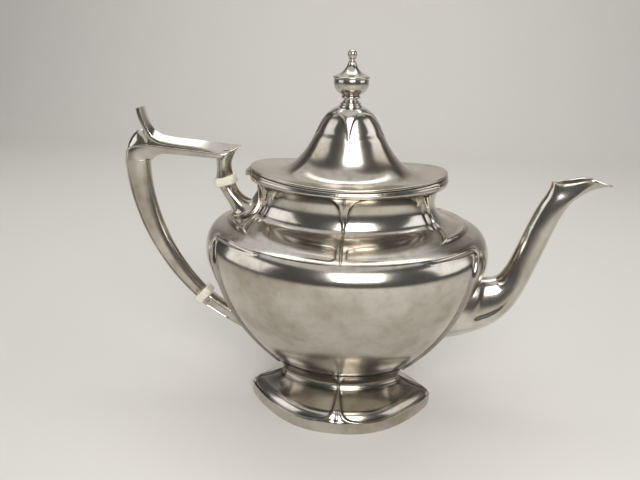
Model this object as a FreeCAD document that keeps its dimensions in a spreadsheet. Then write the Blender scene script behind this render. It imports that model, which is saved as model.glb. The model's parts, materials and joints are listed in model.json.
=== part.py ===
import FreeCAD, Part

import math
import os

import Sketcher

# An oval silver-plated teapot: pedestal foot, bellied body, hinged bell lid with an urn knob,
# gooseneck spout and an angular handle held off the hot body by two white heat breaks.
# Millimetres. The origin is the middle of the foot on the table, +X points along the spout, +Z is up.

SIZES = (
    # Every level of the body is the same four-arc oval, grown or shrunk by an even margin.
    ("oval_inset", 18.5, "half length of an oval less its half width"),
    ("oval_end_centre", 27.7, "distance of an end arc's centre from the middle"),
    ("wall", 1.2, "thickness of the sheet metal"),
    # Foot
    ("foot_base_half", 54.0, "half length of the foot on the table"),
    ("foot_flare", 2.5, "how far the widest of the foot stands out past its base"),
    ("foot_ridge_height", 6.0, "height of the widest of the foot"),
    ("foot_band_width", 4.5, "width of the band that stands on the table"),
    ("foot_roll_inset", 6.5, "how far the foot's edge rolls in"),
    ("foot_roll_rise", 7.2, "height of the rolled edge"),
    ("foot_roll_radius", 9.0, "radius of the rolled edge"),
    ("foot_slope_radius", 60.0, "radius of the slope between roll and waist"),
    ("waist_inset", 14.3, "how far the waist lies inside the rolled edge"),
    ("waist_rise", 6.3, "height of the waist above the rolled edge"),
    ("pedestal_radius", 30.0, "radius of the flare above the waist"),
    ("pedestal_flare", 4.2, "how far the pedestal's top stands out past the waist"),
    ("pedestal_rise", 9.0, "height of the pedestal's top above the waist"),
    # Body
    ("floor_thickness", 1.8, "thickness of the body's floor"),
    ("bowl_radius", 156.0, "radius of the bowl's side"),
    ("belly_flare", 41.0, "how far the foot of the belly's round stands out past the pedestal"),
    ("belly_rise", 70.6, "height of the foot of the belly's round above the pedestal"),
    ("belly_radius", 20.0, "radius of the belly's round"),
    ("seam_inset", 4.3, "how far the shoulder line lies inside the foot of the belly's round"),
    ("seam_rise", 18.4, "height of the shoulder line above the foot of the belly's round"),
    ("shoulder_radius", 70.0, "crown of the shoulder"),
    ("shoulder_width", 21.1, "width of the shoulder from its line to the neck"),
    ("shoulder_rise", 7.0, "rise of the shoulder from its line to the neck"),
    ("neck_radius", 12.5, "hollow of the neck"),
    ("neck_taper", 3.9, "how much slimmer the neck's top is than its foot"),
    ("neck_rise", 17.4, "height of the neck under its lip"),
    ("lip_overhang", 3.9, "how far the lip stands out past the neck"),
    ("lip_depth", 4.5, "height of the lip moulding at the front"),
    ("lip_edge", 1.6, "height of the lip's outer edge at the front"),
    ("lip_inset", 1.4, "width of the lip inside the neck's outer side"),
    ("rim_sag", 3.8, "how much lower the lip is at the front than at its ends"),
    # Lid
    ("lid_gap", 0.3, "gap between lid and lip"),
    ("lid_edge", 1.4, "thickness of the lid's flange"),
    ("bezel_gap", 0.7, "gap between bezel and mouth"),
    ("bezel_depth", 5.0, "depth of the bezel under the lid at the front"),
    ("dome_inset", 12.5, "half length of the dome's foot less its half width"),
    ("dome_foot_rise", 0.6, "rise of the dome's foot above the flange"),
    ("dome_sweep_rise", 6.2, "rise of the sweep above the dome's foot"),
    ("dome_bell_rise", 5.6, "rise of the bell's foot above the sweep"),
    ("dome_waist_rise", 8.0, "rise of the bell's middle above its foot"),
    ("dome_crown_rise", 8.2, "rise of the crown above the bell's middle"),
    ("dome_top_rise", 8.1, "rise of the top above the crown"),
    ("dome_top_half", 8.0, "radius of the dome's flat top"),
    ("dome_crown_flare", 7.3, "how far the crown stands out past the dome's top"),
    ("dome_waist_flare", 3.9, "how far the bell's middle stands out past the crown"),
    ("dome_bell_flare", 5.4, "how far the bell's foot stands out past its middle"),
    ("dome_sweep_flare", 5.6, "how far the sweep stands out past the bell's foot"),
    ("dome_foot_flare", 10.8, "how far the dome's foot stands out past the sweep"),
    # Hinge
    ("hinge_drop", 2.3, "hinge axis below the lid's underside"),
    ("knuckle_radius", 1.9, "radius of the hinge knuckles"),
    ("hinge_pin_radius", 0.8, "radius of the hinge pin"),
    ("hinge_fit", 0.04, "running fit of the hinge pin"),
    ("lid_knuckle_length", 5.0, "length of the lid's knuckle"),
    ("body_knuckle_length", 3.2, "length of each knuckle on the body"),
    ("knuckle_gap", 0.3, "gap between knuckles, and round them in the lip"),
    ("hinge_notch_depth", 3.0, "depth of the lip's notch behind the axis"),
    # Knob
    ("collar_radius", 5.9, "radius of the collar"),
    ("collar_height", 2.8, "height of the collar"),
    ("finial_stem_radius", 3.5, "radius of the knob's stem"),
    ("finial_stem_height", 3.8, "height of the knob's stem"),
    ("urn_foot_radius", 4.6, "radius of the urn's foot"),
    ("urn_radius", 9.7, "radius of the urn"),
    ("urn_depth", 8.8, "height of the urn's bowl"),
    ("urn_edge", 1.5, "height of the urn's edge"),
    ("spire_radius", 2.1, "radius of the spire's neck"),
    ("spire_height", 6.7, "height of the hollow spire"),
    ("bead_height", 2.2, "height of the bead under the ball"),
    ("ball_step", 0.25, "gap between the bead and the ball"),
    ("ball_radius", 2.75, "radius of the ball at the top"),
    ("stud_radius", 1.5, "radius of the knob's stud"),
    ("stud_grip", 8.0, "length of stud inside the knob"),
    ("nut_half_flats", 3.2, "half the distance across the nut's flats"),
    ("nut_height", 2.4, "height of the nut"),
    ("stud_tail", 0.8, "length of stud past the nut"),
    ("fit", 0.03, "fit of pins, studs and tenons"),
    # Spout: each stretch gives its run outwards, its rise and its half thickness.
    ("spout_root_inset", 17.9, "the root's middle, inside the belly"),
    ("spout_root_drop", 28.6, "the root's middle, below the belly"),
    ("spout_root_half", 23.0, "half length of the spout's root along the bowl"),
    ("spout_root_angle", 114.0, "heading of the root from upright, degrees"),
    ("spout_heel_run", 18.0, "run to the spout's heel"),
    ("spout_heel_rise", 1.5, "rise to the spout's heel"),
    ("spout_heel_half", 17.0, "half thickness of the heel"),
    ("spout_bend_run", 11.3, "run from the heel to the bend"),
    ("spout_bend_rise", 7.5, "rise from the heel to the bend"),
    ("spout_bend_half", 11.6, "half thickness of the bend"),
    ("spout_throat_run", 7.1, "run from the bend to the throat"),
    ("spout_throat_rise", 11.0, "rise from the bend to the throat"),
    ("spout_throat_half", 8.6, "half thickness of the throat"),
    ("spout_neck_run", 7.8, "run from the throat to the neck"),
    ("spout_neck_rise", 23.0, "rise from the throat to the neck"),
    ("spout_neck_half", 7.4, "half thickness of the neck"),
    ("spout_swell_run", 8.4, "run from the neck to the swell"),
    ("spout_swell_rise", 23.0, "rise from the neck to the swell"),
    ("spout_swell_half", 8.0, "half thickness of the swell"),
    ("spout_mouth_run", 12.8, "run from the swell to the mouth"),
    ("spout_mouth_rise", 11.5, "rise from the swell to the mouth"),
    ("spout_mouth_half", 16.2, "half length of the mouth"),
    ("spout_root_width", 12.0, "half width of the spout's root"),
    ("spout_mouth_width", 7.0, "half width of the mouth"),
    ("strainer_radius", 13.0, "radius of the strainer"),
    ("strainer_hole", 1.3, "radius of each strainer hole"),
    ("strainer_pitch", 4.2, "spacing of the strainer holes"),
    # Heat breaks
    ("upper_joint_inset", 10.5, "the upper heat break, inside the belly"),
    ("upper_joint_rise", 23.7, "the upper heat break, above the shoulder line"),
    ("upper_joint_angle", 15.0, "lean of the upper heat break, degrees"),
    ("insulator_thickness", 5.0, "thickness of a heat break"),
    ("insulator_half", 6.3, "half length of a heat break"),
    ("insulator_half_width", 5.8, "half width of a heat break"),
    ("insulator_corner", 3.0, "corner radius of a heat break"),
    ("tenon_radius", 2.6, "radius of a heat break's tenon"),
    ("tenon_length", 4.5, "length of a tenon on each side"),
    ("pin_radius", 0.8, "radius of a cross pin"),
    ("pin_proud", 0.2, "how far a cross pin stands out on each side"),
    # Handle
    ("stub_half", 5.4, "half thickness of stub and upper socket at the heat break"),
    ("handle_width", 10.8, "width of the top bar"),
    ("bar_rise", 12.2, "the top bar's underside, above the upper heat break"),
    ("beak_reach", 9.2, "the top bar's beak, in front of the upper heat break"),
    ("beak_height", 8.8, "height of the beak above the bar's underside"),
    ("bar_back_inset", 19.5, "foot of the thumb rest, in front of the grip"),
    ("bar_back_height", 12.0, "height of the bar at the thumb rest"),
    ("rest_inset", 3.7, "tip of the thumb rest, in front of the grip's middle"),
    ("rest_height", 28.4, "height of the thumb rest above the bar's underside"),
    ("rest_half", 2.0, "half thickness of the thumb rest's tip"),
    ("rest_hollow_radius", 20.0, "hollow in front of the thumb rest"),
    ("rest_back_radius", 26.0, "hollow behind the thumb rest"),
    ("handle_gap", 40.4, "the grip's middle at its top, out from the belly"),
    ("grip_drop", 1.9, "the grip's top, below the bar's underside"),
    ("grip_radius", 116.0, "bend of the grip"),
    ("grip_angle", 44.5, "sweep of the grip, degrees"),
    ("grip_top_half", 7.3, "half thickness of the grip at its top"),
    ("grip_end_half", 4.4, "half thickness of the grip at its lower end"),
    # Sockets: each stretch gives its run towards the body, its drop, half thickness and half width.
    ("socket_knee_run", 1.55, "run from the upper heat break to the socket's knee"),
    ("socket_knee_drop", 5.6, "drop from the upper heat break to the knee"),
    ("socket_knee_half", 5.6, "half thickness of the knee"),
    ("socket_knee_width", 5.0, "half width of the knee"),
    ("socket_ankle_run", 3.6, "run from the knee to the ankle"),
    ("socket_ankle_drop", 5.6, "drop from the knee to the ankle"),
    ("socket_ankle_half", 6.8, "half thickness of the ankle"),
    ("socket_ankle_width", 5.8, "half width of the ankle"),
    ("socket_heel_run", 6.1, "run from the ankle to the socket's heel"),
    ("socket_heel_drop", 3.6, "drop from the ankle to the heel"),
    ("socket_heel_half", 8.0, "half thickness of the heel"),
    ("socket_heel_width", 7.0, "half width of the heel"),
    ("socket_root_run", 8.5, "run from the heel to the root inside the neck"),
    ("socket_root_drop", 1.2, "drop from the heel to the root"),
    ("socket_root_half", 9.0, "half thickness of the root"),
    ("socket_root_width", 8.0, "half width of the root"),
    ("leaf_length", 13.0, "length of the lower socket to its widest"),
    ("leaf_half", 5.0, "half thickness of the lower socket's leaf"),
    ("leaf_width", 4.2, "half width of the lower socket's leaf"),
    ("leaf_root_inset", 26.4, "root of the lower socket, inside the belly"),
    ("leaf_root_drop", 47.1, "root of the lower socket, below the belly"),
)

# The wall leans about 45 degrees at the shoulder line, so its level seam is wider than the wall.
SEAM_SLANT = 1.41
# The bowl's side starts about 45 degrees above level on the foot.
BOWL_SLANT = 1.42
# The edge of the body's floor lies within the wall: this far in and up, over the wall's thickness.
FLOOR_INSET = 0.33
FLOOR_LIFT = 0.25
# The spout is a little narrower than it is thick.
SPOUT_RATIO = 0.8
# The tip of the thumb rest is a little flatter than a half circle.
REST_RATIO = 1.15
# The grip's lower end is a little narrower than it is thick.
GRIP_END_RATIO = 0.9
GRIP_SECTIONS = 7
# Bends of the urn's bowl and of its spire, over their heights.
URN_BEND = 1.5
# A hexagon's corners, over half the distance across its flats.
HEX_CORNER = 2 / math.sqrt(3)
STRAINER_RINGS = 2
HOLES_PER_RING = 6

doc = FreeCAD.newDocument("Teapot")
sheet = doc.addObject("Spreadsheet::Sheet", "Sizes")
for row, (alias, number, meaning) in enumerate(SIZES, start=1):
    sheet.set("A%d" % row, meaning)
    sheet.set("B%d" % row, str(number))
    sheet.setAlias("B%d" % row, alias)
doc.recompute()


class Size:
    """A size worked out from the sheet: its number, and the expression that binds a feature to it."""

    def __init__(self, value, text):
        self.value = float(value)
        self.text = text

    def __add__(self, other):
        other = as_size(other)
        return Size(self.value + other.value, "(%s + %s)" % (self.text, other.text))

    def __sub__(self, other):
        other = as_size(other)
        return Size(self.value - other.value, "(%s - %s)" % (self.text, other.text))

    def __mul__(self, other):
        other = as_size(other)
        return Size(self.value * other.value, "(%s * %s)" % (self.text, other.text))

    def __truediv__(self, other):
        other = as_size(other)
        return Size(self.value / other.value, "(%s / %s)" % (self.text, other.text))

    def __neg__(self):
        return Size(-self.value, "(-1 * %s)" % self.text)

    def __rmul__(self, other):
        return as_size(other) * self

    def __rsub__(self, other):
        return as_size(other) - self


def as_size(number):
    """A plain number as a Size."""
    if isinstance(number, Size):
        return number
    return Size(number, repr(float(number)))


def size(alias):
    """One size of the sheet."""
    return Size(sheet.get(alias), "Sizes." + alias)


def root_of(length):
    return Size(math.sqrt(length.value), "sqrt(%s)" % length.text)


def sine(angle):
    return Size(math.sin(math.radians(angle.value)), "sin(%s)" % angle.text)


def cosine(angle):
    return Size(math.cos(math.radians(angle.value)), "cos(%s)" % angle.text)


def heading(run, rise):
    """The lean from upright, in degrees, of a line with this run and rise."""
    degrees = math.degrees(math.atan2(run.value, rise.value))
    return Size(degrees, "atan2(%s; %s)" % (run.text, rise.text))


ZERO = as_size(0)
Y_AXIS = FreeCAD.Vector(0, 1, 0)
Z_AXIS = FreeCAD.Vector(0, 0, 1)


def bind(feature, **sizes):
    """Bind properties of a feature to sizes."""
    for name, length in sizes.items():
        feature.setExpression(name, length.text)


def place(thing, x, y, z, tilt=ZERO, axis=Y_AXIS):
    """Bind the place of a thing, and its turn about an axis."""
    base = FreeCAD.Vector(x.value, y.value, z.value)
    thing.Placement = FreeCAD.Placement(base, FreeCAD.Rotation(axis, tilt.value))
    for letter, length in zip("xyz", (x, y, z)):
        thing.setExpression("Placement.Base." + letter, length.text)
    if tilt is not ZERO:
        thing.setExpression("Placement.Rotation.Angle", tilt.text)
    return thing


def new_body(name):
    return doc.addObject("PartDesign::Body", name)


def new_sketch(body, name, role):
    """A sketch on one of its own body's origin planes."""
    plane = [item for item in body.Origin.OriginFeatures if item.Role == role][0]
    sketch = body.newObject("Sketcher::SketchObject", name)
    sketch.AttachmentSupport = (plane, [""])
    sketch.MapMode = "FlatFace"
    return sketch


def bound_point(sketch, geo, pos, corner, name):
    """Tie one point of a sketch to the sizes of a corner."""
    for kind, letter, axis_line, length in (
        ("DistanceX", "x", -2, corner[0]),
        ("DistanceY", "y", -1, corner[1]),
    ):
        if length.value == 0:
            sketch.addConstraint(Sketcher.Constraint("PointOnObject", geo, pos, axis_line))
            continue
        if length.value < 0:
            length = -length
            index = sketch.addConstraint(Sketcher.Constraint(kind, geo, pos, -1, 1, length.value))
        else:
            index = sketch.addConstraint(Sketcher.Constraint(kind, -1, 1, geo, pos, length.value))
        sketch.renameConstraint(index, name + letter)
        sketch.setExpression("Constraints." + name + letter, length.text)


def arc_between(start, end, radius):
    """An arc from start to end, turning left for a positive radius and right for a negative one."""
    chord = end - start
    middle = (start + end) * 0.5
    left = FreeCAD.Vector(-chord.y, chord.x, 0).normalize()
    reach = math.sqrt(max(radius * radius - chord.Length * chord.Length / 4, 0))
    centre = middle + left * math.copysign(reach, radius)
    first, last = (start, end) if radius > 0 else (end, start)
    angles = [math.atan2(point.y - centre.y, point.x - centre.x) for point in (first, last)]
    return Part.ArcOfCircle(Part.Circle(centre, Z_AXIS, abs(radius)), angles[0], angles[1])


def closed_outline(sketch, steps):
    """A closed outline. Each step is a corner and the bend of the way to the next one.

    A bend is None for a straight way, or the radius of an arc: positive turns left, negative right.
    """
    spots = [FreeCAD.Vector(x.value, y.value, 0) for (x, y), bend in steps]
    count = len(steps)
    first_pos = []
    for index, (corner, bend) in enumerate(steps):
        start, end = spots[index], spots[(index + 1) % count]
        if bend is None:
            sketch.addGeometry(Part.LineSegment(start, end))
        else:
            sketch.addGeometry(arc_between(start, end, bend.value))
        first_pos.append(1 if bend is None or bend.value > 0 else 2)
    for index in range(count):
        after = (index + 1) % count
        joint = ("Coincident", index, 3 - first_pos[index], after, first_pos[after])
        sketch.addConstraint(Sketcher.Constraint(*joint))
    for index, (corner, bend) in enumerate(steps):
        bound_point(sketch, index, first_pos[index], corner, "corner%d" % index)
        if bend is not None:
            radius = bend if bend.value > 0 else -bend
            at = sketch.addConstraint(Sketcher.Constraint("Radius", index, radius.value))
            sketch.renameConstraint(at, "bend%d" % index)
            sketch.setExpression("Constraints.bend%d" % index, radius.text)


# The four centres that every oval of the body shares.
INSET = size("oval_inset")
END_CENTRE = size("oval_end_centre")
SIDE_CENTRE = INSET * (2 * END_CENTRE - INSET) / (2 * (END_CENTRE - INSET))
CENTRE_SPAN = root_of(END_CENTRE * END_CENTRE + SIDE_CENTRE * SIDE_CENTRE)


def oval_steps(half_length):
    """The four arcs of the body's oval with this half length."""
    end_radius = half_length - END_CENTRE
    side_radius = half_length - INSET + SIDE_CENTRE
    x = END_CENTRE + end_radius * END_CENTRE / CENTRE_SPAN
    y = end_radius * SIDE_CENTRE / CENTRE_SPAN
    return [((x, -y), end_radius), ((x, y), side_radius), ((-x, y), end_radius), ((-x, -y), side_radius)]


def oval_ring(name, steps):
    """A ring of one section, swept round the body's oval."""
    body = new_body(name)
    path = new_sketch(body, name + "_path", "XY_Plane")
    closed_outline(path, oval_steps(size("foot_base_half")))
    section = new_sketch(body, name + "_section", "XZ_Plane")
    closed_outline(section, steps)
    doc.recompute()
    ring = body.newObject("PartDesign::AdditivePipe", name + "_ring")
    ring.Profile = section
    ring.Spine = path
    doc.recompute()
    return body


def oval_plate(name, half_length, height, thickness):
    """A level plate with the body's oval outline."""
    body = new_body(name)
    outline = new_sketch(body, name + "_outline", "XY_Plane")
    closed_outline(outline, oval_steps(half_length))
    outline.setExpression("AttachmentOffset.Base.z", height.text)
    doc.recompute()
    plate = body.newObject("PartDesign::Pad", name + "_plate")
    plate.Profile = outline
    bind(plate, Length=thickness)
    return body


def section_oval(name, half_length, half_width, x, z, lean):
    """An ellipse across the XZ plane, for a loft. The lean is its heading from upright."""
    oval = doc.addObject("Part::Ellipse", name)
    oval.MajorRadius = half_length.value
    oval.MinorRadius = half_width.value
    bind(oval, MajorRadius=half_length, MinorRadius=half_width)
    return place(oval, x, ZERO, z, lean)


def loft(name, sections):
    solid = doc.addObject("Part::Loft", name)
    solid.Sections = sections
    solid.Solid = True
    return solid


def cylinder(name, radius, length, x, z, tilt=ZERO):
    """A cylinder in the XZ plane, from its foot at x, z along its tilted axis."""
    rod = doc.addObject("Part::Cylinder", name)
    bind(rod, Radius=radius, Height=length)
    return place(rod, x, ZERO, z, tilt)


def cross_cylinder(name, radius, length, x, z, middle=ZERO):
    """A cylinder along Y, with its middle at this distance from the XZ plane."""
    rod = doc.addObject("Part::Cylinder", name)
    bind(rod, Radius=radius, Height=length)
    turn = FreeCAD.Rotation(FreeCAD.Vector(1, 0, 0), -90)
    start = middle - length / 2
    rod.Placement = FreeCAD.Placement(FreeCAD.Vector(x.value, start.value, z.value), turn)
    for letter, place_of in zip("xyz", (x, start, z)):
        rod.setExpression("Placement.Base." + letter, place_of.text)
    return rod


def block(name, low, high):
    """A box between two corners."""
    box = doc.addObject("Part::Box", name)
    bind(box, Length=high[0] - low[0], Width=high[1] - low[1], Height=high[2] - low[2])
    return place(box, low[0], low[1], low[2])


def cut(name, base, tool):
    result = doc.addObject("Part::Cut", name)
    result.Base = base
    result.Tool = tool
    return result


def fuse(name, shapes):
    result = doc.addObject("Part::MultiFuse", name)
    result.Shapes = shapes
    return result


def common(name, base, tool):
    result = doc.addObject("Part::Common", name)
    result.Base = base
    result.Tool = tool
    return result


def group(name, links):
    result = doc.addObject("Part::Compound", name)
    result.Links = links
    return result


NODES = {}


def node(label, thing):
    """Name a finished sub-part. Its label names its file."""
    thing.Label = label
    NODES[label] = thing
    return thing


# The side of the pot, from the foot to the lip, as corners of its long section.
wall = size("wall")
foot_ridge = (size("foot_base_half") + size("foot_flare"), size("foot_ridge_height"))
foot_roll = (foot_ridge[0] - size("foot_roll_inset"), foot_ridge[1] + size("foot_roll_rise"))
waist = (foot_roll[0] - size("waist_inset"), foot_roll[1] + size("waist_rise"))
pedestal = (waist[0] + size("pedestal_flare"), waist[1] + size("pedestal_rise"))
belly = (pedestal[0] + size("belly_flare"), pedestal[1] + size("belly_rise"))
seam = (belly[0] - size("seam_inset"), belly[1] + size("seam_rise"))
neck_base = (seam[0] - size("shoulder_width"), seam[1] + size("shoulder_rise"))
neck_top = (neck_base[0] - size("neck_taper"), neck_base[1] + size("neck_rise"))
mouth_half = neck_top[0] - size("lip_inset")
lip_half = neck_top[0] + size("lip_overhang")
lip_front = neck_top[1] + size("lip_depth")

# The rim sags in one round bend from end to end, so lip and lid follow cylinders across the pot.
sag = size("rim_sag")
rim_bend = (lip_half * lip_half + sag * sag) / (2 * sag)
rim_axis = lip_front + rim_bend
lid_front = lip_front + size("lid_gap")
flange_top = lid_front + size("lid_edge")
rim_end = lip_front + sag * 2

inner_seam = (seam[0] - wall * SEAM_SLANT, seam[1])
inner_belly = (belly[0] - wall, belly[1])
inner_pedestal = (pedestal[0] - wall * BOWL_SLANT, pedestal[1])
inner_neck_base = (neck_base[0] - wall, neck_base[1] - wall)
inner_neck_top = (neck_top[0] - wall, neck_top[1])


def make_foot_rim():
    """The band on the table, rounded outwards up to the foot's widest line."""
    base, width = size("foot_base_half"), size("foot_band_width")
    steps = [
        ((base, ZERO), size("foot_roll_radius")),
        (foot_ridge, None),
        ((foot_ridge[0] - width, foot_ridge[1]), None),
        ((base - width, ZERO), None),
    ]
    node("foot_rim", oval_ring("FootRim", steps))


def make_foot():
    """The waisted pedestal shell, from the band up to the body's floor."""
    roll, slope = size("foot_roll_radius"), size("foot_slope_radius")
    flare = size("pedestal_radius")
    steps = [
        (foot_ridge, roll),
        (foot_roll, -slope),
        (waist, -flare),
        (pedestal, None),
        ((pedestal[0] - wall, pedestal[1]), flare + wall),
        ((waist[0] - wall, waist[1]), slope + wall),
        ((foot_roll[0] - wall / 2, foot_roll[1] - wall), wall - roll),
        ((foot_ridge[0] - wall, foot_ridge[1]), None),
    ]
    node("foot", oval_ring("Foot", steps))


spout_root = (belly[0] - size("spout_root_inset"), belly[1] - size("spout_root_drop"))


def make_bowl():
    """The lower body with its floor, open where the spout leaves it, and the strainer there."""
    side, shoulder = size("bowl_radius"), size("belly_radius")
    steps = [
        (pedestal, side),
        (belly, shoulder),
        (seam, None),
        (inner_seam, wall - shoulder),
        (inner_belly, wall - side),
        (inner_pedestal, None),
    ]
    shell = oval_ring("BowlShell", steps)
    floor_half = pedestal[0] - wall * FLOOR_INSET
    floor_low = pedestal[1] + wall * FLOOR_LIFT
    floor = loft("BowlFloor", [
        section_oval("FloorOval", floor_half, floor_half - INSET, ZERO, level, ZERO)
        for level in (floor_low, floor_low + size("floor_thickness"))
    ])

    radius, height = size("strainer_radius"), spout_root[1]
    reach = spout_root[0] + size("spout_heel_run")
    opening = cylinder("StrainerOpening", radius, reach, ZERO, height, as_size(90))
    node("bowl", cut("Bowl", fuse("BowlForm", [shell, floor]), opening))

    disc = cylinder("StrainerDisc", radius - size("fit"), reach, ZERO, height, as_size(90))
    holes = [cylinder("StrainerHole", size("strainer_hole"), reach, ZERO, height, as_size(90))]
    for ring in range(1, STRAINER_RINGS + 1):
        for step in range(HOLES_PER_RING * ring):
            turn = math.radians(360 * step / (HOLES_PER_RING * ring))
            hole = cylinder("StrainerHole", size("strainer_hole"), reach, ZERO, height, as_size(90))
            bind(hole, **{
                "Placement.Base.y": size("strainer_pitch") * ring * math.cos(turn),
                "Placement.Base.z": height + size("strainer_pitch") * ring * math.sin(turn),
            })
            holes.append(hole)
    plate = common("StrainerPlate", shell, disc)
    node("spout_strainer", cut("Strainer", plate, fuse("StrainerHoles", holes)))


def body_core():
    """The body's outer form as a thick ring: what the spout and the sockets are cut back to."""
    inside = waist[0]
    steps = [
        ((inside, pedestal[1]), None),
        (pedestal, size("bowl_radius")),
        (belly, size("belly_radius")),
        (seam, size("shoulder_radius")),
        (neck_base, -size("neck_radius")),
        (neck_top, None),
        ((inside, neck_top[1]), None),
    ]
    return oval_ring("BodyCore", steps)


def make_shoulder():
    """The upper body, from the shoulder line in to the neck and up to the lip."""
    crown, hollow = size("shoulder_radius"), size("neck_radius")
    steps = [
        (seam, crown),
        (neck_base, -hollow),
        (neck_top, None),
        (inner_neck_top, hollow + wall),
        (inner_neck_base, wall - crown),
        (inner_seam, None),
    ]
    node("shoulder", oval_ring("Shoulder", steps))


hinge_x = -lip_half
hinge_z = lid_front + sag - size("hinge_drop")
notch_half = size("lid_knuckle_length") / 2 + size("body_knuckle_length") + size("knuckle_gap")
notch_back = hinge_x + size("hinge_notch_depth")
notch_floor = hinge_z - size("knuckle_radius") - size("knuckle_gap")


def rim_cylinder(name, lift):
    """Everything above the sagging rim, raised by a lift."""
    return cross_cylinder(name, rim_bend - lift, lip_half * 2, ZERO, rim_axis)


def make_neck_rim():
    """The lip moulding under its sagging edge, with a notch at the handle end for the hinge."""
    steps = [
        ((mouth_half, neck_top[1]), None),
        (neck_top, None),
        ((lip_half, lip_front - size("lip_edge")), None),
        ((lip_half, rim_end), None),
        ((mouth_half, rim_end), None),
    ]
    ring = cut("SaggingRim", oval_ring("NeckRim", steps), rim_cylinder("AboveLip", ZERO))
    side = notch_half + size("knuckle_gap")
    reach = size("hinge_notch_depth") + size("knuckle_radius")
    notch = block("HingeNotch", (hinge_x - reach, -side, notch_floor), (notch_back, side, rim_end))
    node("neck_rim", cut("NotchedRim", ring, notch))


def dome_levels():
    """Half length, half width and height of the bell at each level. It is an oval that ends round."""
    top = size("dome_top_half")
    halves = [top]
    for name in ("crown", "waist", "bell", "sweep", "foot"):
        halves.append(halves[-1] + size("dome_%s_flare" % name))
    foot = halves[-1]
    height = flange_top
    levels = []
    for name in ("foot", "sweep", "bell", "waist", "crown", "top"):
        half = halves.pop()
        height = height + size("dome_%s_rise" % name)
        inset = size("dome_inset") * (half - top) / (foot - top)
        levels.append((half, half - inset, height))
    return levels


dome_top = dome_levels()[-1][2]


def make_lid():
    """The bell lid: a sagging flange and a hollow dome, bored for the knob's stud."""
    plate = oval_plate("LidPlate", lip_half, lip_front, sag * 2 + size("lid_edge"))
    above = rim_cylinder("AboveLidUnderside", size("lid_gap"))
    over = rim_cylinder("AboveLid", size("lid_gap") + size("lid_edge"))
    flange = cut("LidFlange", common("LidBlank", plate, above), over)

    levels = dome_levels()
    outer, inner = [], []
    for half, width, height in levels:
        outer.append(section_oval("DomeOuter", half, width, ZERO, height, ZERO))
        low = height - wall / 2 if inner else lip_front - wall
        inner.append(section_oval("DomeInner", half - wall, width - wall, ZERO, low, ZERO))
    inner[-1].setExpression("Placement.Base.z", (dome_top - wall).text)
    form = fuse("LidForm", [flange, loft("DomeForm", outer)])
    bore = cylinder("LidBore", size("stud_radius") + size("fit"), dome_top - flange_top, ZERO, flange_top)
    node("lid", cut("Lid", form, fuse("LidHollow", [loft("DomeHollow", inner), bore])))


def make_lid_bezel():
    """The ring under the lid that keeps it central in the mouth."""
    outside = mouth_half - size("bezel_gap")
    low = lid_front - size("bezel_depth")
    steps = [
        ((outside - wall, low), None),
        ((outside, low), None),
        ((outside, rim_end), None),
        ((outside - wall, rim_end), None),
    ]
    above = rim_cylinder("AboveBezel", size("lid_gap"))
    node("lid_bezel", cut("Bezel", oval_ring("BezelRing", steps), above))


def make_hinge():
    """A three-knuckle hinge: the lid's knuckle between two on the body, on one pin."""
    radius, gap = size("knuckle_radius"), size("knuckle_gap")
    lid_length, body_length = size("lid_knuckle_length"), size("body_knuckle_length")
    long_pin = notch_half * 2
    bore_radius = size("hinge_pin_radius") + size("hinge_fit")

    knuckle = cross_cylinder("LidKnuckle", radius, lid_length, hinge_x, hinge_z)
    half = lid_length / 2
    tab = block("LidTab", (hinge_x, -half, hinge_z), (hinge_x + radius, half, rim_end))
    seated = cut("SeatedTab", tab, rim_cylinder("AboveTab", size("lid_gap")))
    bore = cross_cylinder("LidKnuckleBore", bore_radius, long_pin, hinge_x, hinge_z)
    node("lid_hinge_leaf", cut("LidLeaf", fuse("LidLeafForm", [knuckle, seated]), bore))

    middle = half + gap + body_length / 2
    parts = []
    for side in (1, -1):
        at = middle * side
        parts.append(cross_cylinder("BodyKnuckle", radius, body_length, hinge_x, hinge_z, at))
        low = (hinge_x - radius, at - body_length / 2, notch_floor)
        high = (notch_back, at + body_length / 2, hinge_z)
        parts.append(block("BodyTab", low, high))
    bore = cross_cylinder("BodyKnuckleBore", bore_radius, long_pin * 2, hinge_x, hinge_z)
    strap_low = (hinge_x + radius + gap, -middle, notch_floor)
    strap_high = (notch_back, middle, hinge_z)
    parts.append(block("BodyStrap", strap_low, strap_high))
    node("body_hinge_leaf", cut("BodyLeaf", fuse("BodyLeafForm", parts), bore))

    node("hinge_pin", cross_cylinder("HingePin", size("hinge_pin_radius"), long_pin, hinge_x, hinge_z))


finial_seat = dome_top + size("collar_height")


def turned(name, steps):
    """A turned piece: its half section spun about the pot's upright axis."""
    body = new_body(name)
    section = new_sketch(body, name + "_section", "XZ_Plane")
    closed_outline(section, steps)
    doc.recompute()
    spin = body.newObject("PartDesign::Revolution", name + "_spin")
    spin.Profile = section
    spin.ReferenceAxis = (section, ["V_Axis"])
    spin.Angle = 360
    doc.recompute()
    return body


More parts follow.
